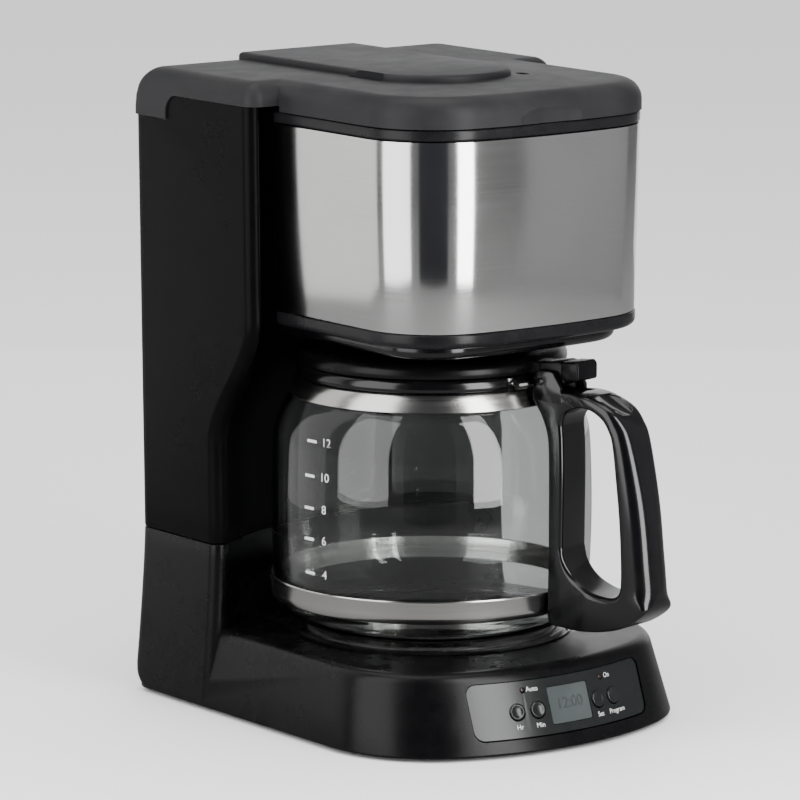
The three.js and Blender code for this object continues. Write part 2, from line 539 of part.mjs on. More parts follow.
// ---------------------------------------------------------------- carafe
const GLASS_OUT = [
  [0, 45.2], [50, GLASS_Z], [61, 45.6], [70, 50], [76.3, 56.5], [79.4, 62], [80.6, 71], [81.5, 88], [81.8, 106],
  [81.5, 125], [80.6, 143], [78.6, 152], [75.2, 159.5], [70.8, 165], [67.2, 168.8], [65.2, 173], [64.8, 180]];
const GLASS_IN = [
  [62.6, 180], [63, 173], [65.4, 169], [72.6, 159.5], [76.6, 152], [79.4, 125], [79.6, 106], [78.4, 71],
  [74.4, 58], [68.6, 52.4], [60, 47.9], [0, 47.6]];
addPart('carafe_glass', atAxis(turned([...GLASS_OUT, ...GLASS_IN], 32)), GLASS);
addPart('base_band', atAxis(turned([
  [79.8, 61], [81.3, 61.2], [82.2, 71.2], [81.0, 71.2], [79.8, 61]], 40)), STEEL);
addPart('neck_band', atAxis(turned([
  [71.6, 165.2], [72.2, 165.4], [69, 173.5], [66, 173.5], [68, 169.2], [71.6, 165.2]], 40)), STEEL);
addPart('neck_collar', atAxis(turned([
  [65.6, 174], [68.2, 174], [68.6, 177], [67.6, 180.3], [65.6, 180.3], [65.6, 174]], 40)), STEEL);

// handle, drawn in its own plane: radius from the carafe axis across, height up
const carafeFrame = new THREE.Group();
carafeFrame.position.y = AXIS_Y;
carafeFrame.rotation.z = HANDLE_TURN;
machine.add(carafeFrame);

function inHandlePlane(shape, halfWidth) {
  // the drawing plane's r runs along -Y of the carafe frame, z stays up
  const geometry = new THREE.ExtrudeGeometry(shape, { depth: 2 * halfWidth, curveSegments: 8, bevelEnabled: false });
  geometry.translate(0, 0, -halfWidth);
  geometry.rotateX(Math.PI / 2);
  return geometry.rotateZ(-Math.PI / 2);
}

function closed(points, segments) {
  const loop = new THREE.CatmullRomCurve3(points.map(([r, z]) => new THREE.Vector3(r, z, 0)), true, 'centripetal');
  const shape = new THREE.Shape();
  shape.setFromPoints(loop.getPoints(segments).slice(0, -1).map((p) => new THREE.Vector2(p.x, p.y)));
  return shape;
}

const HANDLE_OUT = [
  [84, 57], [96, 55.5], [108, 55.5], [120, 57.5], [132, 61.5], [141, 67], [145, 75], [144, 92], [141, 116],
  [137, 137], [132.5, 155], [127, 164.5], [116, 171], [102, 173.8], [92, 174], [82, 174], [75, 172], [74.5, 168.5],
  [79, 161], [83.2, 150], [83.8, 135], [83.8, 100], [83.8, 70]];
const FINGER_HOLE = [
  [92.5, 150], [92.5, 110], [93.5, 93], [98, 84], [108, 77.5], [120, 74.5], [127, 78], [128.6, 92], [127.5, 115],
  [125, 138], [122, 153], [115, 163.5], [104, 167], [96, 163]];
const BAND_SCREW_R = 91;
const GRIP_HALF = 12;
const SPINE_HALF = 10.5;

function handleBody() {
  const full = solid(inHandlePlane(closed(HANDLE_OUT, 60), GRIP_HALF));
  const hole = solid(inHandlePlane(closed(FINGER_HOLE, 44), 20));
  const trimSpine = [-1, 1].map((side) => {
    const [x0, x1] = side < 0 ? [-20, -SPINE_HALF] : [SPINE_HALF, 20];
    return solid(box(x0, x1, -96, -60, 80, 190));
  });
  const leverSlot = solid(box(-8.6, 8.6, -110, -60, 174.5, 200));
  const ear = new THREE.Shape();
  ear.moveTo(74.5, 171);
  ear.lineTo(90, 171);
  ear.lineTo(86.5, 184.5);
  ear.lineTo(76.5, 184.5);
  ear.lineTo(74.5, 181);
  const ears = [-1, 1].map((side) => solid(inHandlePlane(ear, 1.1)).translate([side * 9.9, 0, 0]));
  const glassRoom = solid(turned(GLASS_OUT.map(([r, z]) => [r === 0 ? 0 : r + 1.2, z]).concat([[0, 180]]), 40));
  const bandRoom = solid(disc(83, 55, 74, 40)).add(solid(disc(72.8, 160, 176, 40))).add(solid(disc(69.6, 170, 190, 40)));
  const bore = solid(rod([-20, -PIN.r, PIN.z], [20, -PIN.r, PIN.z], 1.9, 16));
  const screwBore = solid(disc(1.9, 50, 66.4, 12)).translate([0, -BAND_SCREW_R, 0]);
  return full.subtract(hole).subtract(screwBore).subtract(trimSpine[0]).subtract(trimSpine[1])
    .add(ears[0]).add(ears[1]).subtract(leverSlot).subtract(glassRoom).subtract(bandRoom).subtract(bore);
}
addPart('carafe_handle', handleBody(), GLOSS_BLACK, carafeFrame);
addPart('lid_pin', solid(rod([-11.4, -PIN.r, PIN.z], [11.4, -PIN.r, PIN.z], 1.6, 16)), STEEL, carafeFrame);
addPart('band_screw', solid(disc(1.6, 52.5, 66, 12)).add(solid(disc(3.2, 52.5, 54.8, 16)))
  .translate([0, -BAND_SCREW_R, 0]), STEEL, carafeFrame);
addPart('clamp_screw', solid(rod([-19, -70.4, 177], [-13.5, -71.6, 177], 2.2, 12)), STEEL, carafeFrame);

function carafeLid() {
  const cap = solid(turned([
    [0, 173.5], [61, 173.5], [61, 181], [68, 181], [69, 183], [68.6, 186.6], [64, 188.4], [30, 189.6], [0, 189.8]], 40));
  const hollow = solid(disc(58.5, 170, 182.5, 36));
  const drip = solid(disc(6, 170, 186.2, 20));
  const tail = new THREE.Shape();
  tail.moveTo(62, 182.2);
  tail.lineTo(74, 182.2);
  tail.lineTo(75.4, 176.6);
  tail.lineTo(83, 176.6);
  tail.lineTo(84.5, 180.4);
  tail.lineTo(100, 180.4);
  tail.lineTo(100.4, 189.4);
  tail.lineTo(97, 190.4);
  tail.lineTo(84, 189.4);
  tail.lineTo(70, 188.2);
  tail.lineTo(62, 187.6);
  const lever = solid(inHandlePlane(tail, 8));
  const bore = solid(rod([-20, -PIN.r, PIN.z], [20, -PIN.r, PIN.z], 1.9, 16));
  const well = solid(disc(12, 187.4, 195, 24));
  return cap.subtract(hollow).add(lever).subtract(drip).subtract(well).subtract(bore);
}
addPart('carafe_lid', carafeLid(), GLOSS_BLACK, carafeFrame);

export default machine;
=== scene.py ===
import json
import math

import bpy
from mathutils import Matrix, Vector


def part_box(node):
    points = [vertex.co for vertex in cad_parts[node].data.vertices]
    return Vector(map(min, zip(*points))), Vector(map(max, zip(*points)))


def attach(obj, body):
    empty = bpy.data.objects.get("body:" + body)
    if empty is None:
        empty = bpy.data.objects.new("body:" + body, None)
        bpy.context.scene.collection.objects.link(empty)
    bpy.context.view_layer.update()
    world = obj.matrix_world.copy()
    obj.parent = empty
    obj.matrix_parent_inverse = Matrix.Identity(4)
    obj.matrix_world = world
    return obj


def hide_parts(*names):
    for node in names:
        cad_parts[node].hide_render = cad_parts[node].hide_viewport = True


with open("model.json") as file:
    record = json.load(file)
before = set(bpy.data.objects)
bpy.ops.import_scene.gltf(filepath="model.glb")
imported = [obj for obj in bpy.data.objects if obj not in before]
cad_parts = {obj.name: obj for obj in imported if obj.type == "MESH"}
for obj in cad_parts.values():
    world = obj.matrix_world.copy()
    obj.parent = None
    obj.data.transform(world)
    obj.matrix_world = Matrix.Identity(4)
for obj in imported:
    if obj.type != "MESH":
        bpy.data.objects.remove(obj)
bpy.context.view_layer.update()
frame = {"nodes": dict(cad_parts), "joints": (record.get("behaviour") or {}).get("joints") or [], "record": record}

MM = 0.001


# ------------------------------------------------------------------ places read from the frame
def box_mm(node):
    low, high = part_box(node)
    return [v / MM for v in low], [v / MM for v in high]


BASE_LOW, BASE_HIGH = box_mm("base_housing")
TOWER_HIGH = box_mm("main_housing")[1]
STEEL_LOW, STEEL_HIGH = box_mm("steel_wrap")
RIM_LOW, RIM_HIGH = box_mm("head_rim")
TRIM_LOW, TRIM_HIGH = box_mm("lower_trim")
FLOOR_LOW, FLOOR_HIGH = box_mm("head_floor")
LID_HIGH = box_mm("lid")[1]
GLASS_LOW, GLASS_HIGH = box_mm("carafe_glass")
PLATE_LOW, PLATE_HIGH = box_mm("warming_plate")
PLATE_R = (PLATE_HIGH[0] - PLATE_LOW[0]) / 2

AXIS = Vector((0, (GLASS_LOW[1] + GLASS_HIGH[1]) / 2, 0))  # upright axis of the carafe
HANDLE_TURN = math.radians(13)
HINGE = [v / MM for v in next(j for j in frame["joints"] if j["name"] == "lid_hinge")["pos_m"]]
LID_PIN = [v / MM for v in next(j for j in frame["joints"] if j["name"] == "carafe_lid_hinge")["pos_m"]]

# ------------------------------------------------------------------ driving shapes, as in the moulds
WALL = 2.5
MIDDLE_Y = 10  # the housing's own middle line, about which its walls lean
PLATFORM_Z = 42
SEAM_Z = BASE_HIGH[2]
BASE = dict(half=100.5, back=134, front=-112.5, bow=37, corner=64, rear=14)
COLUMN = dict(half=95, back=134, nose=64.4, nose_r=6, wall=94, rear=10)
HEAD = dict(half=80.4, back=96, front=-89.4, bow=9.1, corner=41.8, rear=2)
LEAN_SIDE, LEAN_FRONT = 8, 14
REAR_FLARE, FLARE_POWER = 2.5, 1.3
SKIRT_Z = BASE_LOW[2]
TOWER_FLARE, NOSE_TRAVEL, SWEEP_LOW, SWEEP_HIGH = 2, 34, 138, 205
TOWER_TOP = TOWER_HIGH[2]
TOWER_FRONT_END = 105  # the sweep moves only what is forward of this
REAR_TOP = 300.7
HEAD_TAPER, HEAD_WIDEST_Z = 0.02, 304.7
HEAD_END = STEEL_HIGH[1]


# ------------------------------------------------------------------ modelling tools
def begin():
    """Object mode with nothing selected."""
    if bpy.context.object and bpy.context.object.mode != "OBJECT":
        bpy.ops.object.mode_set(mode="OBJECT")
    bpy.ops.object.select_all(action="DESELECT")


def only(piece):
    begin()
    piece.select_set(True)
    bpy.context.view_layer.objects.active = piece


def named(name):
    piece = bpy.context.object
    piece.name = name
    piece.data.name = name
    return piece


def settle(piece):
    """Puts the object at the origin with its place in its mesh, faces outwards, doubles merged."""
    only(piece)
    bpy.ops.object.transform_apply(location=True, rotation=True, scale=True)
    bpy.ops.object.mode_set(mode="EDIT")
    bpy.ops.mesh.select_all(action="SELECT")
    bpy.ops.mesh.remove_doubles(threshold=0.00001)
    bpy.ops.mesh.normals_make_consistent(inside=False)
    bpy.ops.object.mode_set(mode="OBJECT")
    return piece


def smooth(piece, degrees=35):
    only(piece)
    bpy.ops.object.shade_smooth_by_angle(angle=math.radians(degrees))
    return piece


def modify(piece, kind, **values):
    only(piece)
    modifier = piece.modifiers.new(kind.lower(), kind)
    for key, value in values.items():
        setattr(modifier, key, value)
    bpy.ops.object.modifier_apply(modifier=modifier.name)
    return piece


def cut(piece, *cutters):
    for cutter in cutters:
        modify(piece, "BOOLEAN", operation="DIFFERENCE", object=cutter, solver="EXACT")
        bpy.data.objects.remove(cutter)
    return piece


def weld(piece, *others):
    for other in others:
        modify(piece, "BOOLEAN", operation="UNION", object=other, solver="EXACT")
        bpy.data.objects.remove(other)
    return piece


def join(*pieces):
    """One object holding separate closed bodies."""
    begin()
    for piece in pieces:
        piece.select_set(True)
    bpy.context.view_layer.objects.active = pieces[0]
    bpy.ops.object.join()
    return pieces[0]


def bevel(piece, width, segments=3, degrees=35):
    return modify(piece, "BEVEL", width=width * MM, segments=segments, limit_method="ANGLE",
                  angle_limit=math.radians(degrees), use_clamp_overlap=False)


def loft(name, rings):
    """A closed body through rings of equally many points, lowest ring first, extruded up from a disc."""
    count = len(rings[0])
    begin()
    bpy.ops.mesh.primitive_circle_add(vertices=count, radius=1, fill_type="NGON")
    piece = named(name)
    bpy.ops.object.mode_set(mode="EDIT")
    bpy.ops.mesh.select_all(action="SELECT")
    for _ in rings[1:]:
        bpy.ops.mesh.extrude_region_move(TRANSFORM_OT_translate={"value": (0, 0, 1)})
    bpy.ops.object.mode_set(mode="OBJECT")
    for vertex in piece.data.vertices:
        level = round(vertex.co.z)
        turn = math.atan2(vertex.co.y, vertex.co.x) - math.pi / 2  # the circle starts on +Y
        place = round(turn / (2 * math.pi) * count) % count
        vertex.co = Vector(rings[level][place]) * MM
    return settle(piece)


def turned(name, profile, steps=96, centre=AXIS):
    """A profile of (radius, height) drawn point by point, then spun round an upright axis."""
    begin()
    bpy.ops.mesh.primitive_plane_add(size=MM)
    piece = named(name)
    bpy.ops.object.mode_set(mode="EDIT")
    bpy.ops.mesh.select_all(action="SELECT")
    bpy.ops.mesh.merge(type="CENTER")
    places = [Vector((centre.x + r, centre.y, z)) * MM for r, z in profile]
    bpy.ops.transform.translate(value=places[0])
    for a, b in zip(places, places[1:]):
        bpy.ops.mesh.extrude_region_move(TRANSFORM_OT_translate={"value": b - a})
    bpy.ops.mesh.select_all(action="SELECT")
    bpy.ops.mesh.spin(steps=steps, angle=2 * math.pi, center=centre * MM, axis=(0, 0, 1), use_auto_merge=True)
    bpy.ops.object.mode_set(mode="OBJECT")
    return settle(piece)


def plug(name, radius, z0, z1, steps=96, centre=AXIS):
    return turned(name, [(0, z0), (radius, z0), (radius, z1), (0, z1)], steps, centre)


def block(name, x0, x1, y0, y1, z0, z1):
    begin()
    bpy.ops.mesh.primitive_cube_add(size=1)
    piece = named(name)
    piece.scale = Vector((x1 - x0, y1 - y0, z1 - z0)) * MM
    piece.location = Vector((x0 + x1, y0 + y1, z0 + z1)) * MM / 2
    return settle(piece)


def rod(name, start, end, radius, sides=48):
    a, b = Vector(start) * MM, Vector(end) * MM
    begin()
    bpy.ops.mesh.primitive_cylinder_add(vertices=sides, radius=radius * MM, depth=(b - a).length)
    piece = named(name)
    piece.rotation_mode = "QUATERNION"
    piece.rotation_quaternion = (b - a).to_track_quat("Z", "Y")
    piece.location = (a + b) / 2
    return settle(piece)


def arc(centre, radius, start, end, count):
    """Points on an arc, ends included; angles in radians."""
    steps = [start + (end - start) * i / (count - 1) for i in range(count)]
    return [(centre[0] + radius * math.cos(t), centre[1] + radius * math.sin(t)) for t in steps]


def flowing(points, count, closed=False):
    """A smooth line through the points, by centred cubic pieces."""
    total = len(points)
    spans = total if closed else total - 1
    line = []
    for i in range(count):
        t = i / (count if closed else count - 1) * spans
        k = min(int(t), spans - 1)
        f = t - k
        places = [(k + d) % total if closed else min(max(k + d, 0), total - 1) for d in (-1, 0, 1, 2)]
        near = [points[place] for place in places]
        weights = (-f + 2 * f**2 - f**3, 2 - 5 * f**2 + 3 * f**3, f + 4 * f**2 - 3 * f**3, f**3 - f**2)
        line.append(tuple(sum(w * p[axis] for w, p in zip(weights, near)) / 2 for axis in range(2)))
    return line


# ------------------------------------------------------------------ outlines seen from above
def house_plan(dims, inset=0):
    """A plan with a flat back, straight sides, round front corners and a bowed front."""
    w, rear = dims["half"] - inset, max(dims["rear"] - inset, 0.5)
    corner, back = max(dims["corner"] - inset, 0.3), dims["back"] - inset
    bow_r = (dims["half"] ** 2 + dims["bow"] ** 2) / (2 * dims["bow"]) - inset
    bow_y = dims["front"] + inset + bow_r
    corner_y = bow_y - math.sqrt((bow_r - corner) ** 2 - (w - corner) ** 2)
    meet = math.atan2(bow_y - corner_y, w - corner)
    half_turn = math.pi
    return (arc((w - rear, back - rear), rear, 0, half_turn / 2, 10)
            + arc((rear - w, back - rear), rear, half_turn / 2, half_turn, 10)
            + arc((corner - w, corner_y), corner, half_turn, half_turn + meet, 30)
            + arc((0, bow_y), bow_r, half_turn + meet, 2 * half_turn - meet, 40)[1:-1]
            + arc((w - corner, corner_y), corner, 2 * half_turn - meet, 2 * half_turn, 30))


def column_plan(dims, inset=0):
    """A plan with a flat back and a hollow front wall between two round noses."""
    half, nose_r, rear = dims["half"], dims["nose_r"], dims["rear"]
    nose_x, nose_y = half - nose_r, dims["nose"] + nose_r
    drop = dims["wall"] - nose_y
    hollow_r = (nose_x**2 + drop**2 - nose_r**2) / (2 * (nose_r + drop))
    hollow_y = dims["wall"] - hollow_r
    touch = math.atan2(nose_y - hollow_y, nose_x)
    back_y, r = dims["back"] - rear, max(nose_r - inset, 0.5)
    half_turn = math.pi
    return (arc((half - rear, back_y), rear - inset, 0, half_turn / 2, 10)
            + arc((rear - half, back_y), rear - inset, half_turn / 2, half_turn, 10)
            + arc((-nose_x, nose_y), r, half_turn, 2 * half_turn - touch, 24)
            + arc((0, hollow_y), hollow_r + inset, half_turn - touch, touch, 40)[1:-1]
            + arc((nose_x, nose_y), r, half_turn + touch, 2 * half_turn, 24))


def eased(t):
    s = min(max(t, 0), 1)
    return s * s * (3 - 2 * s)


def drawn_in(plan, sx, sy, z):
    """An outline made narrower, and shallower in front of the middle line."""
    return [(x * sx, (y - MIDDLE_Y) * sy + MIDDLE_Y if y < MIDDLE_Y else y, z) for x, y in plan]


def platform_lean(z):
    """How wide and how deep the platform is at a height, against its foot."""
    rise = (z - SKIRT_Z) / (PLATFORM_Z - SKIRT_Z)
    return 1 - LEAN_SIDE / BASE["half"] * rise, 1 - LEAN_FRONT / (MIDDLE_Y - BASE["front"]) * rise


def platform_ring(z, inset=0):
    return drawn_in(house_plan(BASE, inset), *platform_lean(z), z)


def column_ring(z, inset=0):
    spread = max((SEAM_Z - z) / (SEAM_Z - SKIRT_Z), 0) ** FLARE_POWER
    wide = 1 + (BASE["half"] - COLUMN["half"]) / COLUMN["half"] * spread
    rear = COLUMN["back"] - COLUMN["rear"] - 1
    return [(x * wide, y + REAR_FLARE * spread if y > rear else y, z) for x, y in column_plan(COLUMN, inset)]


def tower_ring(z, inset=0):
    wide = 1 + TOWER_FLARE / COLUMN["half"] * (z - SEAM_Z) / (TOWER_TOP - SEAM_Z)
    forward = NOSE_TRAVEL * eased((z - SWEEP_LOW) / (SWEEP_HIGH - SWEEP_LOW))
    reach = COLUMN["half"] - COLUMN["nose_r"]
    return [(x * wide, y - forward * min((x / reach) ** 2, 1) if y < TOWER_FRONT_END else y, z)
            for x, y in column_plan(COLUMN, inset)]


def head_ring(z, inset=0):
    narrow = HEAD_TAPER * (HEAD_WIDEST_Z - z)
    sx, sy = 1 - narrow / HEAD["half"], 1 - narrow / (MIDDLE_Y - HEAD["front"])
    return drawn_in(house_plan(HEAD, inset), sx, sy, z)


def rounded_levels(z0, z1, low_r, high_r, steps=6):
    """(height, inset) pairs of a wall whose lower and upper edges are rounded."""
    quarter = [math.pi / 2 * i / steps for i in range(steps + 1)]
    low = [(z0 + low_r * (1 - math.cos(t)), low_r * (1 - math.sin(t))) for t in quarter]
    high = [(z1 - high_r + high_r * math.sin(t), high_r * (1 - math.cos(t))) for t in quarter]
    return (low if low_r else low[-1:]) + (high if high_r else high[-1:])


# ------------------------------------------------------------------ node groups used by many finishes
def node_group(name, *outputs, **inputs):
    """An empty group whose sockets all carry numbers; an input's value is its default."""
    tree = bpy.data.node_groups.new(name, "ShaderNodeTree")
    for key, value in inputs.items():
        socket = tree.interface.new_socket(key.replace("_", " "), in_out="INPUT", socket_type="NodeSocketFloat")
        socket.default_value = value
    for key in outputs:
        tree.interface.new_socket(key, in_out="OUTPUT", socket_type="NodeSocketFloat")
    return tree, tree.nodes.new("NodeGroupInput"), tree.nodes.new("NodeGroupOutput")


def math_node(tree, operation, a, b, clamp=False):
    node = tree.nodes.new("ShaderNodeMath")
    node.operation = operation
    node.use_clamp = clamp
    for socket, value in zip(node.inputs, (a, b)):
        if isinstance(value, (int, float)):
            socket.default_value = value
        else:
            tree.links.new(value, socket)
    return node.outputs[0]


def plus(tree, a, b, clamp=False):
    return math_node(tree, "ADD", a, b, clamp)


def times(tree, a, b, clamp=False):
    return math_node(tree, "MULTIPLY", a, b, clamp)


def about(tree, source):
    """The lowest and highest roughness: the group's Roughness less and plus its Swing."""
    middle, swing = source.outputs["Roughness"], source.outputs["Swing"]
    return math_node(tree, "SUBTRACT", middle, swing), plus(tree, middle, swing)


def noise(tree, vector, scale, detail=3, rough=0.55):
    node = tree.nodes.new("ShaderNodeTexNoise")
    node.inputs["Detail"].default_value = detail
    node.inputs["Roughness"].default_value = rough
    tree.links.new(vector, node.inputs["Vector"])
    if isinstance(scale, (int, float)):
        node.inputs["Scale"].default_value = scale
    else:
        tree.links.new(scale, node.inputs["Scale"])
    return node.outputs["Fac"]


def remap(tree, value, low, high, to_low=0.0, to_high=1.0):
    node = tree.nodes.new("ShaderNodeMapRange")
    tree.links.new(value, node.inputs["Value"])
    for key, number in (("From Min", low), ("From Max", high), ("To Min", to_low), ("To Max", to_high)):
        if isinstance(number, (int, float)):
            node.inputs[key].default_value = number
        else:
            tree.links.new(number, node.inputs[key])
    return node.outputs["Result"]


def own_place(tree):
    """Where a point is on the piece itself."""
    return tree.nodes.new("ShaderNodeTexCoord").outputs["Object"]


def make_moulding_group():
    """Moulded plastic: fine spark-eroded grain, slow sheen changes and a few hairline rubs."""
    tree, source, sink = node_group("moulding", "Height", "Roughness", "Shade",
                                    Grain_Scale=2200.0, Roughness=0.4, Swing=0.08)
    place = own_place(tree)
    grain = noise(tree, place, source.outputs["Grain Scale"], 2, 0.6)
    slow = noise(tree, place, 14.0, 4)
    mid = noise(tree, place, 90.0, 3)
    stretch = tree.nodes.new("ShaderNodeMapping")
    stretch.inputs["Scale"].default_value = (1800, 50, 900)
    stretch.inputs["Rotation"].default_value = (0.3, 0.5, 0.2)
    tree.links.new(place, stretch.inputs["Vector"])
    rub = remap(tree, noise(tree, stretch.outputs[0], 1.0, 2), 0.68, 0.8)
    blend = plus(tree, times(tree, slow, 0.6), times(tree, mid, 0.4))
    rough = remap(tree, blend, 0.35, 0.65, *about(tree, source))
    rough = plus(tree, rough, times(tree, rub, 0.02), True)
    tree.links.new(grain, sink.inputs["Height"])
    tree.links.new(rough, sink.inputs["Roughness"])
    tree.links.new(remap(tree, blend, 0.35, 0.65), sink.inputs["Shade"])
    return tree


def make_dust_group():
    """Dust that settles in specks and thin clouds on faces that look up."""
    tree, source, sink = node_group("settled_dust", "Mask", Amount=0.2)
    place = own_place(tree)
    facing = tree.nodes.new("ShaderNodeSeparateXYZ")
    tree.links.new(tree.nodes.new("ShaderNodeNewGeometry").outputs["Normal"], facing.inputs[0])
    up = remap(tree, facing.outputs["Z"], 0.3, 1.0)
    cloud = remap(tree, noise(tree, place, 35.0, 5), 0.4, 0.8)
    specks = tree.nodes.new("ShaderNodeTexVoronoi")
    specks.inputs["Scale"].default_value = 260.0
    tree.links.new(place, specks.inputs["Vector"])
    dots = remap(tree, specks.outputs["Distance"], 0.09, 0.03)
    mixed = plus(tree, times(tree, cloud, 0.5), dots, True)
    mask = times(tree, times(tree, mixed, up), source.outputs["Amount"], True)
    tree.links.new(mask, sink.inputs["Mask"])
    return tree


def make_edge_group():
    """Where an outside edge has been rubbed, and where a painted highlight runs along it: the rounded normal
    departs from the flat one.
    """
    tree, source, sink = node_group("rubbed_and_highlit_edge", "Mask", Width=0.0008)
    place = own_place(tree)
    soft = tree.nodes.new("ShaderNodeBevel")
    soft.samples = 4
    tree.links.new(source.outputs["Width"], soft.inputs["Radius"])
    dot = tree.nodes.new("ShaderNodeVectorMath")
    dot.operation = "DOT_PRODUCT"
    tree.links.new(soft.outputs[0], dot.inputs[0])
    tree.links.new(tree.nodes.new("ShaderNodeNewGeometry").outputs["Normal"], dot.inputs[1])
    bend = remap(tree, dot.outputs["Value"], 0.97, 0.8)
    tree.links.new(times(tree, bend, noise(tree, place, 180.0, 3)), sink.inputs["Mask"])
    return tree


def make_smudge_group():
    """Finger marks and wipe marks that only change how sharp a polished surface reflects."""
    tree, source, sink = node_group("smudges", "Roughness", Clean=0.05, Marked=0.2)
    place = own_place(tree)
    patch = remap(tree, noise(tree, place, 22.0, 5, 0.6), 0.48, 0.75)
    fine = noise(tree, place, 240.0, 3)
    mask = times(tree, patch, fine, True)
    tree.links.new(remap(tree, mask, 0.0, 0.7, source.outputs["Clean"], source.outputs["Marked"]),
                   sink.inputs["Roughness"])
    return tree


def make_brush_group():
    """Rolled sheet steel: long fine lines along the sheet, in height and in sharpness."""
    tree, source, sink = node_group("rolled_lines", "Height", "Roughness", "Shade", Roughness=0.18, Swing=0.05)
    place = own_place(tree)
    lay = tree.nodes.new("ShaderNodeMapping")
    lay.inputs["Scale"].default_value = (12, 12, 2600)
    tree.links.new(place, lay.inputs["Vector"])
    lines = noise(tree, lay.outputs[0], 1.0, 4, 0.7)
    slow = noise(tree, place, 18.0, 3)
    both = plus(tree, times(tree, lines, 0.6), times(tree, slow, 0.4))
    tree.links.new(lines, sink.inputs["Height"])
    tree.links.new(remap(tree, both, 0.35, 0.65, *about(tree, source)), sink.inputs["Roughness"])
    tree.links.new(remap(tree, both, 0.3, 0.7), sink.inputs["Shade"])
    return tree


GROUPS = {name: make() for name, make in (
    ("moulding", make_moulding_group), ("dust", make_dust_group), ("edge", make_edge_group),
    ("smudges", make_smudge_group), ("lines", make_brush_group))}


# ------------------------------------------------------------------ finishes
DUST_COLOUR = (0.32, 0.31, 0.3)


def new_material(name):
    material = bpy.data.materials.new(name)
    material.use_nodes = True
    tree = material.node_tree
    return material, tree, tree.nodes["Principled BSDF"]


def place_group(tree, key, **values):
    node = tree.nodes.new("ShaderNodeGroup")
    node.node_tree = GROUPS[key]
    for socket, value in values.items():
        node.inputs[socket.replace("_", " ")].default_value = value
    return node


def mix_colour(tree, factor, a, b):
    node = tree.nodes.new("ShaderNodeMix")
    node.data_type = "RGBA"
    tree.links.new(factor, node.inputs["Factor"])
    for socket, value in ((node.inputs["A"], a), (node.inputs["B"], b)):
        if isinstance(value, tuple):
            socket.default_value = (*value, 1)
        else:
            tree.links.new(value, socket)
    return node.outputs["Result"]


def surface(tree, shader, colour, rough, height, strength, distance):
    """Feeds a finish's colour, roughness and fine relief to its shader."""
    tree.links.new(colour, shader.inputs["Base Color"])
    tree.links.new(rough, shader.inputs["Roughness"])
    bump = tree.nodes.new("ShaderNodeBump")
    bump.inputs["Strength"].default_value = strength
    bump.inputs["Distance"].default_value = distance
    tree.links.new(height, bump.inputs["Height"])
    tree.links.new(bump.outputs[0], shader.inputs["Normal"])


def plastic(name, dark, light, roughness, swing=0.08, grain=2200.0, bump=0.1, dust=0.06, edge=0.1, shine=0.2):
    """Moulded plastic with grain, slow colour change, edges lightened as rubbed wear and as a painted highlight,
    and settled dust.
    """
    material, tree, shader = new_material(name)
    skin = place_group(tree, "moulding", Grain_Scale=grain, Roughness=roughness, Swing=swing)
    colour = mix_colour(tree, skin.outputs["Shade"], dark, light)
    edges = place_group(tree, "edge", Width=0.0007)
    # edges lightened in colour: partly rubbed wear, partly a painted highlight along them
    rubbed_and_highlit = tuple(min(1, c * 2.2 + 0.02) for c in light)
    colour = mix_colour(tree, times(tree, edges.outputs["Mask"], edge), colour, rubbed_and_highlit)
    specks = place_group(tree, "dust", Amount=dust)
    colour = mix_colour(tree, specks.outputs["Mask"], colour, DUST_COLOUR)
    rough = plus(tree, skin.outputs["Roughness"], times(tree, specks.outputs["Mask"], 0.5), True)
    surface(tree, shader, colour, rough, skin.outputs["Height"], bump, 0.00012)
    shader.inputs["Specular IOR Level"].default_value = shine
    return material


def gloss(name, dark, light, clean, marked, dust=0.05, bump=0.03, shine=0.4):
    """Polished moulding: sharp reflections dulled in patches by handling."""
    material, tree, shader = new_material(name)
    skin = place_group(tree, "moulding", Grain_Scale=600.0, Roughness=0.2, Swing=0.1)
    marks = place_group(tree, "smudges", Clean=clean, Marked=marked)
    specks = place_group(tree, "dust", Amount=dust)
    colour = mix_colour(tree, skin.outputs["Shade"], dark, light)
    colour = mix_colour(tree, specks.outputs["Mask"], colour, DUST_COLOUR)
    rough = plus(tree, marks.outputs["Roughness"], times(tree, specks.outputs["Mask"], 0.4), True)
    surface(tree, shader, colour, rough, skin.outputs["Height"], bump, 0.00005)
    shader.inputs["Specular IOR Level"].default_value = shine
    return material


def metal(name, dark, light, roughness, swing, bump=0.05, dust=0.03):
    """Rolled or turned metal with fine lines along it and a little dust."""
    material, tree, shader = new_material(name)
    lines = place_group(tree, "lines", Roughness=roughness, Swing=swing)
    specks = place_group(tree, "dust", Amount=dust)
    colour = mix_colour(tree, lines.outputs["Shade"], dark, light)
    colour = mix_colour(tree, specks.outputs["Mask"], colour, (0.4, 0.39, 0.38))
    surface(tree, shader, colour, lines.outputs["Roughness"], lines.outputs["Height"], bump, 0.00003)
    shader.inputs["Metallic"].default_value = 1.0
    return material


def clear_glass(name, tint):
    """Clear glass with faint ripples and the odd finger mark."""
    material, tree, shader = new_material(name)
    marks = place_group(tree, "smudges", Clean=0.0, Marked=0.06)
    ripple = noise(tree, own_place(tree), 30.0, 2)
    colour = mix_colour(tree, ripple, tint, tuple(min(1, c + 0.02) for c in tint))
    surface(tree, shader, colour, marks.outputs["Roughness"], ripple, 0.05, 0.0004)
    shader.inputs["Transmission Weight"].default_value = 1.0
    shader.inputs["IOR"].default_value = 1.42
    return material


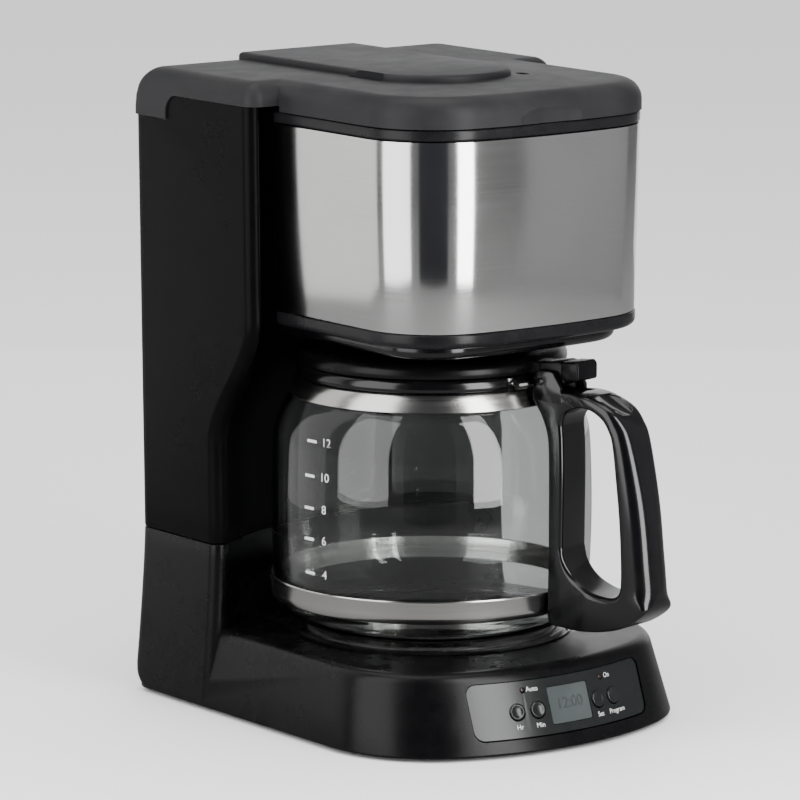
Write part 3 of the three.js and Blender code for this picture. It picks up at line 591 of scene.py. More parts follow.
# name, darkest and lightest colour, middle roughness and its swing; in gloss, clean and finger-marked roughness
SATIN_BLACK = plastic("satin_black_moulding", (0.0012, 0.0012, 0.0015), (0.0026, 0.0026, 0.0031),
                      0.28, 0.045, bump=0.12, dust=0.03, shine=0.18)
TOWER_BLACK = plastic("tower_black_moulding", (0.0012, 0.0012, 0.0014), (0.0024, 0.0024, 0.0028),
                      0.3, 0.04, bump=0.12, dust=0.03, shine=0.05)
LID_BLACK = plastic("matte_black_lid", (0.0095, 0.0095, 0.0105), (0.015, 0.015, 0.0165),
                    0.5, 0.06, grain=1500.0, bump=0.25, dust=0.08)
TRIM_BLACK = plastic("trim_black", (0.004, 0.004, 0.0045), (0.008, 0.008, 0.009),
                     0.28, 0.06, bump=0.06, dust=0.04)
GLOSS_BLACK = gloss("polished_black", (0.0012, 0.0012, 0.0016), (0.0025, 0.0025, 0.003), 0.15, 0.22, shine=0.48)
PANEL_BLACK = gloss("panel_black", (0.0045, 0.0055, 0.0055), (0.008, 0.0095, 0.0095), 0.24, 0.32, dust=0.06)
STEEL = metal("polished_steel_sheet", (0.56, 0.555, 0.55), (0.66, 0.655, 0.65), 0.13, 0.03)
BAND_STEEL = metal("band_steel", (0.42, 0.415, 0.4), (0.54, 0.53, 0.52), 0.2, 0.05)
CHROME = metal("bright_steel_ring", (0.25, 0.25, 0.25), (0.34, 0.34, 0.34), 0.1, 0.03)
PLATE_COAT = plastic("baked_plate_coating", (0.012, 0.012, 0.013), (0.028, 0.027, 0.027),
                     0.3, 0.12, grain=900.0, bump=0.3, dust=0.3, edge=0.6)
RUBBER = plastic("soft_rubber", (0.012, 0.012, 0.012), (0.024, 0.024, 0.024),
                 0.75, 0.08, grain=700.0, bump=0.3)
TANK = plastic("smoked_tank", (0.03, 0.031, 0.034), (0.05, 0.051, 0.055), 0.3, 0.06)
SILICONE = plastic("milky_silicone", (0.5, 0.48, 0.43), (0.62, 0.6, 0.55), 0.5, 0.1, bump=0.15)
ALUMINIUM = metal("extruded_aluminium", (0.45, 0.455, 0.46), (0.58, 0.585, 0.59), 0.38, 0.1, bump=0.2)
BOARD = plastic("board_lacquer", (0.008, 0.05, 0.02), (0.015, 0.09, 0.035), 0.35, 0.1)
LENS = gloss("lamp_lens", (0.012, 0.007, 0.006), (0.022, 0.011, 0.01), 0.1, 0.2)
SCREEN = gloss("display_glass", (0.036, 0.042, 0.042), (0.05, 0.057, 0.057), 0.14, 0.25)
INK = plastic("print_ink", (0.5, 0.5, 0.49), (0.6, 0.6, 0.59), 0.5, 0.05, dust=0.0, edge=0.0)
SEGMENT_INK = plastic("display_segments", (0.02, 0.025, 0.025), (0.035, 0.04, 0.04),
                      0.4, 0.05, dust=0.0, edge=0.0)
GLASS = clear_glass("carafe_glass_clear", (0.965, 0.98, 0.975))

# the finish of each material slot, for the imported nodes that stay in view
CAD_FINISH = {
    "housing_black": SATIN_BLACK, "lid_black": LID_BLACK, "gloss_black": GLOSS_BLACK, "steel": BAND_STEEL,
    "plate_enamel": PLATE_COAT, "glass": GLASS, "rubber": RUBBER, "aluminium": ALUMINIUM, "silicone": SILICONE,
    "tank_plastic": TANK, "board_green": BOARD, "display": SCREEN, "lamp": LENS}


def finish_cad_nodes():
    for part in frame["record"]["subparts"]:
        shown = frame["nodes"][part["node"]]
        shown.data.materials.clear()
        shown.data.materials.append(CAD_FINISH[part["material_slot"]])


def dress(piece, material, body, slot, *nodes):
    piece.data.materials.clear()
    piece.data.materials.append(material)
    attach(piece, body)
    if nodes:
        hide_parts(*nodes)
    return piece


# ------------------------------------------------------------------ the housing
def rising(low, high, steps):
    return [low + (high - low) * i / steps for i in range(steps + 1)]


def rear_rounding(ring, z, radius=12):
    """The lower rear edge of the base turns under."""
    left = radius - (z - SKIRT_Z)
    tuck = radius - math.sqrt(max(radius**2 - left**2, 0)) if left > 0 else 0
    return [(x, y - tuck if y > COLUMN["back"] - COLUMN["rear"] else y, z) for x, y, z in ring]


def wall_rings(ring, levels):
    return [ring(z, inset) for z, inset in levels]


def make_base_shell():
    """The base in one moulding: a leaning platform with a softly rounded rim, and the column's foot."""
    rim = rounded_levels(SKIRT_Z, PLATFORM_Z, 1.2, 5)
    platform = loft("base_shell", wall_rings(platform_ring, rim))
    levels = rounded_levels(SKIRT_Z, SEAM_Z, 1.0, 0.8, 4)
    heights = levels[:5] + [(z, 0) for z in (4, 5.5, 7.5, 10, 14, 20, 28, 38, 50, 64, 78)] + levels[5:]
    column = loft("column_foot", [rear_rounding(column_ring(z, inset), z) for z, inset in heights])
    hollow = loft("hollow", [platform_ring(z, WALL) for z in (SKIRT_Z - 1, PLATFORM_Z - WALL)])
    shaft = loft("shaft", [rear_rounding(column_ring(z, WALL), z, 13)
                           for z in (SKIRT_Z - 1, 4, 7.5, 14, 28, 50, 70, SEAM_Z + 1)])
    well = plug("well", PLATE_R + 3.3, 30, 60)
    gland_hole = rod("gland_hole", (62, 110, 20), (62, 150, 20), 6.3)
    shell = weld(platform, column)
    cut(shell, hollow, shaft, well, gland_hole, panel_prism("panel_hole", 0.3, 60))
    dress(smooth(settle(shell), 40), SATIN_BLACK, "housing", "housing_black", "base_housing")


def panel_prism(name, grow, depth, low=9, high=36, half=54.5, radius=5):
    """A rounded rectangle seen from the front, run straight back through the front wall."""
    outline = rounded_rectangle(-half - grow, half + grow, low - grow, high + grow, radius, 8)
    return prism(name, outline, -150, -150 + depth)


def prism(name, outline, y0, y1):
    """An outline of (x, z) run along Y."""
    piece = loft(name, [[(x, z, -y) for x, z in outline] for y in (y1, y0)])
    for vertex in piece.data.vertices:
        vertex.co = (vertex.co.x, -vertex.co.z, vertex.co.y)
    return settle(piece)


def make_tower_shell():
    """The upright housing and the plastic box of the head, open at the top under the lid."""
    sweep = rising(SWEEP_LOW, SWEEP_HIGH, 18)
    foot = rounded_levels(SEAM_Z + 0.4, 200, 0.8, 0, 4)[:5]
    levels = foot + [(z, 0) for z in (100, 120)] + [(z, 0) for z in sweep] + [(260, 0), (TOWER_TOP, 0)]
    tower = loft("tower_shell", wall_rings(tower_ring, levels))
    inner = [(SEAM_Z - 1, WALL), (100, WALL)] + [(z, WALL) for z in sweep] + [(TOWER_TOP + 1, WALL)]
    shaft = loft("tower_shaft", wall_rings(tower_ring, inner))
    head = loft("head_box", wall_rings(head_ring, [(FLOOR_HIGH[2] + 0.3, 1.4), (TOWER_TOP, 1.4)]))
    room = loft("head_room", wall_rings(head_ring, [(FLOOR_HIGH[2] + 2.8, 3.9), (TOWER_TOP + 1, 3.9)]))
    weld(tower, head)
    cut(tower, shaft, room, basket_mouth(), block("tank_room", -74, 74, 30, 128, 205.5, 320))
    cut(tower, run_along_x("notch", -150, 150, notch_outline()))
    for ends in ((-70, -61.3), (61.3, 70)):
        weld(tower, hinge_rod("post", ends), block("arm", *ends, 131, 133.5, 292, 301))
    dress(smooth(settle(tower), 40), TOWER_BLACK, "housing", "housing_black", "main_housing")


def basket_mouth():
    """The hole in the head's floor that the brew basket's drip end goes through."""
    return plug("mouth", 52, 190, 215)


def hinge_rod(name, ends):
    """A rod on the lid's hinge line, between two x values."""
    return rod(name, *[(x, HINGE[1], HINGE[2]) for x in ends], 3)


def notch_outline():
    """Where the tower's rear is cut down under the lid's skirt: (y, z), with a rounded step."""
    brow = arc((91.6, TOWER_TOP - 9), 9, math.pi / 2, 0, 10)
    foot = arc((103.1, REAR_TOP + 2.5), 2.5, math.pi, 1.5 * math.pi, 5)
    return [(91.6, 330)] + brow + foot + [(150, REAR_TOP), (150, 330)]


def head_band(name, levels, thick):
    outer = loft(name, wall_rings(head_ring, levels))
    low, high = levels[0][0] - 1, levels[-1][0] + 1
    middle = min(inset for _, inset in levels)
    inner = loft("inner", wall_rings(head_ring, [(low, middle + thick), (high, middle + thick)]))
    return cut(outer, inner, block("behind", -120, 120, HEAD_END, 200, low - 5, high + 5))


def make_head():
    """The steel wrap, the black bands above and below it, and the head's floor."""
    steel = head_band("steel_sleeve", rounded_levels(STEEL_LOW[2], STEEL_HIGH[2], 0.4, 0.4, 2), 1)
    dress(smooth(settle(steel), 30), STEEL, "housing", "steel", "steel_wrap")
    rim = head_band("head_rim_band", rounded_levels(RIM_LOW[2], RIM_HIGH[2], 0.8, 1.2, 4), 6)
    cut(rim, thumb_ball())
    dress(smooth(settle(rim), 40), TRIM_BLACK, "housing", "housing_black", "head_rim")
    levels = [(z, inset - 0.6) for z, inset in rounded_levels(TRIM_LOW[2], TRIM_HIGH[2], 3.2, 1.0, 8)]
    trim = head_band("lower_trim_band", levels, 4.2)
    dress(smooth(settle(trim), 40), TRIM_BLACK, "housing", "housing_black", "lower_trim")
    levels = [(z, inset + 10) for z, inset in rounded_levels(FLOOR_LOW[2], FLOOR_HIGH[2], 4.0, 0, 8)]
    floor = loft("head_floor_plate", wall_rings(head_ring, levels))
    tower = loft("tower_gap", wall_rings(tower_ring, [(z, -0.4) for z in rising(180, 215, 8)]))
    cut(floor, basket_mouth(), tower)
    dress(smooth(settle(floor), 40), GLOSS_BLACK, "housing", "gloss_black", "head_floor")


# ------------------------------------------------------------------ the lid
LID_TOP = 326
VENTS = ((-38.9, -2, 23, 1.7), (36.3, -22.5, -18.5, 2.4))  # x, the two ends in y, and half the width
THUMB_HALF, THUMB_REACH, THUMB_TALL, THUMB_DEPTH, THUMB_Z = 30.9, 3.9, 9.2, 1.3, 312.6
LID_REAR = dict(half=98, back=136, front=26, bow=1.5, corner=9, rear=12)
LID_HEAD = dict(HEAD, half=81, front=-90, back=110)
TONGUE_HALF, TONGUE_R = 37, 40
SIDE_EDGE, HEAD_EDGE = 313.7, 310.8
SHOULDER, REAR_SHOULDER = 10, 21


def lid_ring(dims, z, inset, top):
    """The lid's outline at a height: shoulders roll in near the top, most at the rear."""
    def roll(radius):
        rise = max(z - (top - radius), 0)
        return radius - math.sqrt(max(radius**2 - rise**2, 0))
    side = roll(SHOULDER)
    extra = max(roll(REAR_SHOULDER) - side, 0)
    plan = house_plan(dims, inset + side)
    return [(x, y - extra * min(max((y - 100) / 30, 0), 1), z) for x, y in plan]


def lid_body(name, dims, inset, top, bottom):
    turn = [math.pi / 2 * i / 8 for i in range(9)]
    heights = [bottom, top - REAR_SHOULDER, top - 15] + [top - SHOULDER * (1 - math.sin(t)) for t in turn]
    return loft(name, [lid_ring(dims, z, inset, top) for z in sorted(set(heights))])


def run_along_x(name, x0, x1, outline):
    """An outline of (y, z) run along X."""
    piece = prism(name, outline, -x1, -x0)
    for vertex in piece.data.vertices:
        vertex.co = (-vertex.co.y, vertex.co.x, vertex.co.z)
    return settle(piece)


def thumb_ball():
    """The flattened ball that hollows the front seam for a thumb, in the lid and the rim below it."""
    begin()
    middle = Vector((0, LID_HEAD["front"] - THUMB_REACH + THUMB_DEPTH, THUMB_Z))
    bpy.ops.mesh.primitive_uv_sphere_add(segments=192, ring_count=96, radius=MM, location=middle * MM)
    ball = named("thumb")
    ball.scale = (THUMB_HALF, THUMB_REACH, THUMB_TALL)
    return settle(ball)


def make_lid():
    """The lid: one shell over head and tower, with a raised tongue, two vents and a thumb scallop."""
    shell = lid_body("lid_shell", LID_REAR, 0, LID_TOP, 280)
    weld(shell, lid_body("lid_front", LID_HEAD, 0, LID_TOP, 280))
    inner = lid_body("lid_room", LID_REAR, WALL, LID_TOP - WALL, 270)
    weld(inner, lid_body("lid_room_front", LID_HEAD, WALL, LID_TOP - WALL, 270))
    cut(shell, inner)
    brow = arc((92, SIDE_EDGE - 9), 9, math.pi / 2, 0, 10)
    far, below = 130, 250  # outside the lid, sideways and downwards
    under = [(26, below), (26, SIDE_EDGE)] + brow + [(101, REAR_TOP + 0.6), (101, below)]
    cut(shell, run_along_x("under_side", -far, far, under),
        block("under_rear", -far, far, 100.9, 150, below, REAR_TOP + 0.6),
        block("under_head", -far, far, -far, 27, below, HEAD_EDGE))
    for ends in ((-61, -52), (52, 61)):
        weld(shell, hinge_rod("knuckle", ends))
    add_tongue(shell)
    for x, y0, y1, r in VENTS:
        ends = [plug("vent", r, 300, 340, 32, Vector((x, y, 0))) for y in (y0, y1)]
        cut(shell, *ends, block("vent_slot", x - r, x + r, y0, y1, 300, 340))
    cut(shell, thumb_ball())
    dress(smooth(settle(shell), 40), LID_BLACK, "lid", "lid_black", "lid")


def add_tongue(shell):
    """The raised strip that ends in a disc, with a soft upper edge."""
    top, edge = LID_HIGH[2], 2.2
    start = LID_REAR["back"] - 14

    def outline(inset):
        half, reach = TONGUE_HALF - inset, TONGUE_R - inset
        turn = math.acos(half / reach)
        round_end = arc((0, AXIS.y), reach, math.pi - turn, 2 * math.pi + turn, 60)
        return [(half, start - inset), (-half, start - inset)] + round_end

    turns = [math.pi / 2 * i / 5 for i in range(6)]
    levels = [(LID_TOP - 1, 0)] + [(top - edge * (1 - math.sin(t)), edge * (1 - math.cos(t))) for t in turns]
    tongue = loft("tongue", [[(x, y, z) for x, y in outline(inset)] for z, inset in levels])
    weld(shell, tongue)


# ------------------------------------------------------------------ warming plate and control panel
def make_plate():
    """The ring let into the platform, and the coated pan it holds."""
    rim, foot, r = PLATFORM_Z + 1.4, 38.5, PLATE_R
    ring = turned("plate_rim", [
        (r + 0.4, foot), (r + 3, foot), (r + 3, PLATFORM_Z + 0.3), (r + 7.6, PLATFORM_Z + 0.3),
        (r + 7.9, PLATFORM_Z + 0.6), (r + 7.2, rim - 0.4), (r + 6, rim), (r + 3.4, rim - 0.1),
        (r + 1.6, rim - 0.5),
        (r + 0.7, rim - 0.3), (r + 0.4, rim - 0.6), (r + 0.4, foot)], 128)
    dress(smooth(ring, 50), GLOSS_BLACK, "housing", "gloss_black", "plate_ring")
    pan = turned("warming_pan", [
        (0, 40), (r - 3, 40), (r - 0.8, 40.6), (r, 41.6), (r - 0.1, 43), (r - 0.8, 43.9),
        (r - 2, PLATE_HIGH[2]),
        (r - 3.2, 44), (r - 4.6, 43.5), (r - 6, 43.4), (30, 43.3), (0, 43.4)], 128)
    dress(smooth(pan, 50), PLATE_COAT, "housing", "plate_enamel", "warming_plate")


def front_y(x, z, inset=0):
    """Where the base's leaning, bowed front wall stands at a width and a height."""
    sx, sy = platform_lean(z)
    bow_r = (BASE["half"] ** 2 + BASE["bow"] ** 2) / (2 * BASE["bow"])
    bow_y = BASE["front"] - MIDDLE_Y + bow_r
    return sy * (bow_y - math.sqrt(bow_r**2 - (x / sx) ** 2)) + inset + MIDDLE_Y


def front_normal(x, z):
    step = 0.5
    across = (front_y(x + step, z) - front_y(x - step, z)) / (2 * step)
    up = (front_y(x, z + step) - front_y(x, z - step)) / (2 * step)
    return Vector((across, -1, up)).normalized()


def onto_front(piece, inset):
    """Lays a flat piece drawn in (x, z) with its thickness in y onto the front wall."""
    for vertex in piece.data.vertices:
        x, y, z = vertex.co / MM
        normal = front_normal(x, z)
        place = Vector((x, front_y(x, z, inset), z)) - normal * y
        vertex.co = place * MM
    return settle(piece)


def panel_skin(name, outline, inset, thick, cells=40):
    """A thin sheet with this (x, z) outline, bent to the front wall."""
    sheet = prism(name, outline, 0, thick)
    only(sheet)
    bpy.ops.object.mode_set(mode="EDIT")
    low, high = min(x for x, _ in outline), max(x for x, _ in outline)
    for i in range(1, cells):
        bpy.ops.mesh.select_all(action="SELECT")
        bpy.ops.mesh.bisect(plane_co=((low + (high - low) * i / cells) * MM, 0, 0), plane_no=(1, 0, 0))
    bpy.ops.object.mode_set(mode="OBJECT")
    return onto_front(sheet, inset)


def rounded_rectangle(x0, x1, z0, z1, radius, steps=7):
    quarter = math.pi / 2
    left, right, low, high = x0 + radius, x1 - radius, z0 + radius, z1 - radius
    spots = [(right, high), (left, high), (left, low), (right, low)]
    return [p for turn, spot in enumerate(spots)
            for p in arc(spot, radius, turn * quarter, (turn + 1) * quarter, steps)]


BUTTONS = (("hour", -30.5), ("minute", -19), ("set", 19.5), ("program", 30.5))
BUTTON_Z, BUTTON_R = 21.5, 4.2
LAMPS = (("auto", -25.5), ("on", 24))
LAMP_Z, LAMP_R = 31.5, 1.3
SCREEN_X, SCREEN_Z = (-11.5, 13.5), (13.5, 31)


def front_stud(name, x, z, profile, inset, steps=40):
    """A turned stud that stands on the front wall; its profile is (radius, height out of the wall)."""
    piece = turned(name, profile, steps, Vector((0, 0, 0)))
    normal = front_normal(x, z)
    turn = Vector((0, 0, 1)).rotation_difference(normal).to_matrix().to_4x4()
    piece.matrix_world = Matrix.Translation(Vector((x, front_y(x, z, inset), z)) * MM) @ turn
    return settle(piece)


def make_panel():
    """The panel's face with its holes, the display's pane, four keys and two lamps."""
    face = panel_skin("panel_face", rounded_rectangle(-54.2, 54.2, 9.3, 35.7, 4.8), 0.7, 2.4)
    for spots, z, r in ((BUTTONS, BUTTON_Z, BUTTON_R + 0.35), (LAMPS, LAMP_Z, LAMP_R + 0.25)):
        for _, x in spots:
            cut(face, front_stud("hole", x, z, [(0, -6), (r, -6), (r, 4), (0, 4)], 0))
    gap = 0.3
    window = rounded_rectangle(SCREEN_X[0] - gap, SCREEN_X[1] + gap, SCREEN_Z[0] - gap, SCREEN_Z[1] + gap, 1.2)
    cut(face, prism("screen_hole", window, -150, -80))
    dress(smooth(face, 40), PANEL_BLACK, "housing", "gloss_black", "control_panel")
    pane = panel_skin("display_pane", rounded_rectangle(*SCREEN_X, *SCREEN_Z, 1), 1.0, 1.5, 12)
    dress(smooth(pane, 40), SCREEN, "housing", "display", "display_window")
    for name, x in BUTTONS:
        key = front_stud(name + "_key", x, BUTTON_Z, [
            (0, -4), (BUTTON_R, -4), (BUTTON_R, 0.2), (BUTTON_R - 0.15, 0.6), (BUTTON_R - 0.6, 0.9),
            (BUTTON_R - 1.1, 0.85), (BUTTON_R - 1.6, 0.62), (1.4, 0.35), (0, 0.3)], 0.8, 56)
        dress(smooth(key, 50), PANEL_BLACK, name + "_button", "gloss_black", "button_" + name)
    for name, x in LAMPS:
        lens = front_stud(name + "_lamp_lens", x, LAMP_Z, [
            (0, -4), (LAMP_R, -4), (LAMP_R, -0.2), (LAMP_R - 0.2, 0.1), (LAMP_R - 0.6, 0.3),
            (0, 0.4)], 0.8, 32)
        dress(smooth(lens, 50), LENS, "housing", "lamp", "lamp_" + name)


def flat_text(name, words, x, z, size, thick=0.06):
    """Lettering drawn in (x, z), centred, with a little thickness, as a mesh."""
    begin()
    bpy.ops.object.text_add(location=(0, 0, 0))
    piece = named(name)
    piece.data.body = words
    piece.data.size = size * MM
    piece.data.extrude = thick / 2 * MM
    piece.data.align_x = "CENTER"
    piece.data.align_y = "CENTER"
    bpy.ops.object.convert(target="MESH")
    piece = named(name)
    for vertex in piece.data.vertices:
        vertex.co = Vector((vertex.co.x + x * MM, -vertex.co.z, vertex.co.y + z * MM))
    return piece


def make_panel_print():
    """The words beside the keys and lamps, and the time on the display."""
    words = [("Hr", -30.5, 14.2), ("Min", -19, 14.2), ("Set", 19.5, 14.2), ("Program", 31.5, 14.2),
             ("Auto", -20.2, 31.5), ("On", 28.5, 31.5)]
    pieces = [onto_front(flat_text("label", text, x, z, 3.3), 0.58) for text, x, z in words]
    dress(join(*pieces), INK, "housing", "gloss_black").name = "panel_labels"
    digits = onto_front(flat_text("display_digits", "12:00", 1, 22.6, 7.6), 0.9)
    dress(digits, SEGMENT_INK, "housing", "display")


# ------------------------------------------------------------------ the carafe
GLASS_OUTSIDE = [(50, 45.0), (58, 45.1), (64.5, 46.8), (70, 50), (76.3, 56.5), (79.4, 62), (80.6, 71),
                 (81.5, 88), (81.8, 106), (81.5, 125), (80.6, 143), (78.6, 152), (75.2, 159.5), (70.8, 165),
                 (67.2, 168.8),
                 (65.2, 173), (64.8, 180)]
GLASS_INSIDE = [(62.6, 180), (63, 173), (65.4, 169), (69.4, 164.5), (73.4, 158.5), (76.7, 151), (78.7, 142),
                (79.5, 125), (79.7, 106), (79.3, 88), (78.3, 71), (75.6, 60.5), (71.6, 54.6), (66.4, 50.6),
                (59, 48), (48, 47.2)]


def around_carafe(piece):
    """Turns what was drawn with the handle towards -Y to the handle's own bearing, about the carafe's axis."""
    spot = Matrix.Translation(AXIS * MM)
    piece.matrix_world = spot @ Matrix.Rotation(HANDLE_TURN, 4, "Z") @ spot.inverted() @ piece.matrix_world
    return settle(piece)


def make_glass():
    """The bowl, spun from its outer and inner walls, with a rounded lip."""
    outside, inside = flowing(GLASS_OUTSIDE, 60), flowing(GLASS_INSIDE, 56)
    bowl = turned("carafe_bowl", [(0, 46.2), (30, 46.0)] + outside + [(63.7, 180.6)] + inside
                  + [(25, 47.9), (0, 48.1)], 128)
    dress(smooth(bowl, 60), GLASS, "carafe", "glass", "carafe_glass")


def wrap_round(piece, angle, height, radius):
    """Bends lettering drawn in (x, z) onto the outside of the glass, centred at an angle and a height."""
    for vertex in piece.data.vertices:
        x, y, z = vertex.co / MM
        turn = angle + x / radius
        reach = radius + 0.25 - y
        vertex.co = Vector((AXIS.x + reach * math.cos(turn), AXIS.y + reach * math.sin(turn), height + z)) * MM
    return settle(piece)


# cups, height of the mark, and the glass's radius there
LEVELS = (("12", 147.8, 79.7), ("10", 130.5, 81.2), ("8", 114.2, 81.7), ("6", 98.4, 81.7), ("4", 81.0, 81.2))


def make_level_marks():
    marks = []
    for words, height, radius in LEVELS:
        numbers = flat_text("number", words, 0, 0, 6.2, 0.1)
        marks.append(wrap_round(numbers, math.radians(191.5), height, radius))
        dash = prism("tick", rounded_rectangle(-3.5, 3.5, -0.75, 0.75, 0.3, 3), -0.05, 0.05)
        marks.append(wrap_round(dash, math.radians(184.2), height, radius))
    dress(join(*marks), INK, "carafe", "glass").name = "level_marks"


def make_bands():
    """The lower band, the neck strap, the collar above it and the strap's clamp."""
    band = turned("lower_band", [
        (80.3, 60.6), (81.0, 60.2), (81.4, 60.6), (81.9, 64), (82.3, 70.6), (82.6, 71.3), (82.3, 71.9),
        (81.5, 71.6),
        (81.1, 70.4), (80.5, 64), (80.3, 60.6)], 160)
    dress(smooth(band, 50), BAND_STEEL, "carafe", "steel", "base_band")
    strap = turned("neck_strap", [
        (71.4, 165.0), (72.0, 164.8), (72.6, 165.3), (72.4, 166.3), (70.9, 169.7), (69.5, 173.2), (69, 173.7),
        (66.4, 173.7), (66.8, 172.4), (68.2, 169.2), (71.4, 165.0)], 160)
    dress(smooth(strap, 50), BAND_STEEL, "carafe", "steel", "neck_band")
    collar = turned("collar_ring", [
        (65.6, 174.0), (67.7, 174.0), (68.6, 174.8), (68.8, 176.6), (68.4, 178.8), (67.6, 180.2),
        (66.9, 180.6),
        (65.6, 180.6), (65.6, 174.0)], 160)
    dress(smooth(collar, 50), GLOSS_BLACK, "carafe", "steel", "neck_collar")
    lug = block("clamp_lug", -19.5, -12.5, -67.6, -64, 174.2, 180.4)
    for vertex in lug.data.vertices:
        vertex.co.y += (AXIS.y - (vertex.co.x / MM) ** 2 / -200) * MM
    bevel(lug, 0.7, 3)
    rivet = rod("rivet", (-17.2, AXIS.y - 67.9, 177.6), (-17.2, AXIS.y - 65.5, 177.6), 1.5, 32)
    bevel(rivet, 0.4, 2)
    dress(smooth(around_carafe(join(lug, rivet)), 40), CHROME, "carafe", "steel").name = "clamp_lug"


# outer point, inner point and the two corner roundings of the handle's section, round its finger gap
HANDLE_LOOP = [
    ((83.8, 100), (92.0, 100), 1.2, 2.6), ((83.8, 135), (92.4, 132), 1.2, 2.6),
    ((83.0, 151), (92.0, 150), 1.2, 2.6), ((79.5, 161), (91.5, 158), 1.2, 2.8),
    ((75.0, 168.2), (93.4, 162.9), 1.2, 2.6), ((75.5, 172.5), (97, 166), 1.2, 1.8),
    ((88, 174.2), (102, 167.8), 1.0, 1.5), ((100, 174.8), (106.5, 168.2), 1.0, 1.5),
    ((111.3, 173.2), (111.7, 167.2), 2.6, 1.8), ((122.5, 168.8), (117.4, 163.8), 3.6, 2.2),
    ((129.6, 162.2), (121.2, 158.8), 6.0, 2.4), ((133.4, 155), (123.8, 152), 8.4, 2.4),
    ((138.0, 138), (126.1, 135), 9.2, 2.4), ((142.0, 118), (128.3, 115.4), 9.6, 2.4),
    ((145, 92), (129.5, 95.3), 9.8, 2.4), ((146.4, 77), (129.4, 82), 9.6, 2.6),
    ((144.6, 69.5), (127.8, 77.2), 2.4, 2.8),
    ((132, 61), (124, 75), 1.0, 3.0), ((119, 57.2), (118, 74.8), 1.0, 3.0), ((106, 55.6), (110, 76),
    1.0, 3.0),
    ((94, 55.7), (103, 79.3), 1.0, 3.0), ((84.6, 57), (97, 84.3), 1.0, 3.0), ((83.8, 68), (93.4, 89.5),
    1.0, 2.8),
    ((83.8, 82), (92.2, 94), 1.2, 2.6)]
GRIP_HALF, SPINE_HALF, CORNER_STEPS, LOOP_STEPS = 12, 10.6, 7, 144
PIN_R, PIN_Z = 79.2, LID_PIN[2]  # how far the lid's pin is from the carafe's axis, and its height


def handle_section(outer, inner, outer_r, inner_r, half):
    """The section between two points of the plane: (r, z, across), with rounded corners."""
    away = Vector(outer) - Vector(inner)
    width = away.length
    away.normalize()
    section = []
    for side, at_outer in ((1, True), (-1, True), (-1, False), (1, False)):
        radius = min(outer_r if at_outer else inner_r, width * (0.66 if at_outer else 0.3))
        turns = [math.pi / 2 * i / (CORNER_STEPS - 1) for i in range(CORNER_STEPS)]
        if (side > 0) != at_outer:
            turns.reverse()
        for t in turns:
            u = (width - radius + radius * math.sin(t)) if at_outer else radius - radius * math.sin(t)
            across = side * (half - radius + radius * math.cos(t))
            spot = Vector(inner) + away * u
            section.append((spot.x, spot.y, across))
    return section


def in_handle_plane(r, z, across):
    """A point of the handle drawing, with the handle towards -Y."""
    return Vector((AXIS.x + across, AXIS.y - r, z)) * MM


def pin_rod(name, half, radius, lift=0):
    """A rod across the handle on the lid's pin."""
    return rod(name, *[(x, AXIS.y - PIN_R, PIN_Z + lift) for x in (-half, half)], radius, 40)


def make_handle():
    """The handle as one closed loop round the finger gap, with the lid's ears on top, and the lid's pin."""
    outer = flowing([row[0] for row in HANDLE_LOOP], LOOP_STEPS, True)
    inner = flowing([row[1] for row in HANDLE_LOOP], LOOP_STEPS, True)
    radii = flowing([row[2:] for row in HANDLE_LOOP], LOOP_STEPS, True)
    points, faces = [], []
    for a, b, (outer_r, inner_r) in zip(outer, inner, radii):
        middle = (a[0] + b[0]) / 2
        half = SPINE_HALF + (GRIP_HALF - SPINE_HALF) * eased((middle - 92) / 16)
        points += [in_handle_plane(*p) for p in handle_section(a, b, outer_r, inner_r, half)]
    count = 4 * CORNER_STEPS
    for i in range(LOOP_STEPS):
        for j in range(count):
            k, m = (i + 1) % LOOP_STEPS, (j + 1) % count
            faces.append((i * count + j, i * count + m, k * count + m, k * count + j))
    mesh = bpy.data.meshes.new("handle_grip")
    mesh.from_pydata(points, [], faces)
    grip = bpy.data.objects.new("handle_grip", mesh)
    bpy.context.scene.collection.objects.link(grip)
    settle(grip)
    ears = [hinge_ear(side) for side in (-1, 1)]
    weld(grip, *ears)
    room = turned("room", [(0, 100), (82.9, 100), (82.9, 128), (82.4, 143), (79.9, 152.6), (76.4, 160.2),
                           (73.8, 164), (73.8, 173.9), (70.2, 174.2), (70.2, 200), (0, 200)], 128)
    cut(grip, room, block("lever_slot", -8.7, 8.7, AXIS.y - 99.2, AXIS.y - 60, 174.0, 205))
    cut(grip, thumb_recess())
    cut(grip, pin_rod("bore", 20, 1.9))
    around_carafe(grip)
    dress(smooth(grip, 40), GLOSS_BLACK, "carafe", "gloss_black", "carafe_handle")
    pin = bevel(pin_rod("hinge_rivet", 11.5, 1.6), 0.5, 3, 60)
    dress(smooth(around_carafe(pin), 40), GLOSS_BLACK, "carafe", "steel", "lid_pin")


def hinge_ear(side):
    """One of the two cheeks that hold the lid's pin."""
    outline = ([(74.5, 169), (92.5, 169)] + arc((88.2, 176), 3.5, -0.2, 0.25, 3)
               + arc((84.4, 181.6), 3.2, 0.25, math.pi / 2, 6)
               + arc((77.7, 181.6), 3.2, math.pi / 2, math.pi, 6))
    ear = loft("ear", [[(r, z, height) for r, z in outline] for height in (side * 9.9 - 1.1, side * 9.9 + 1.1)])
    return bevel(stand_up(ear), 0.5, 2, 50)


def thumb_recess():
    """A shallow oval let into the top of the arch."""
    begin()
    bpy.ops.mesh.primitive_uv_sphere_add(segments=64, ring_count=32, radius=1)
    oval = named("recess")
    oval.scale = Vector((8.2, 15, 3.4)) * MM
    oval.rotation_euler = (math.radians(24), 0, 0)
    oval.location = in_handle_plane(118.5, 172.2, 0)
    return settle(oval)


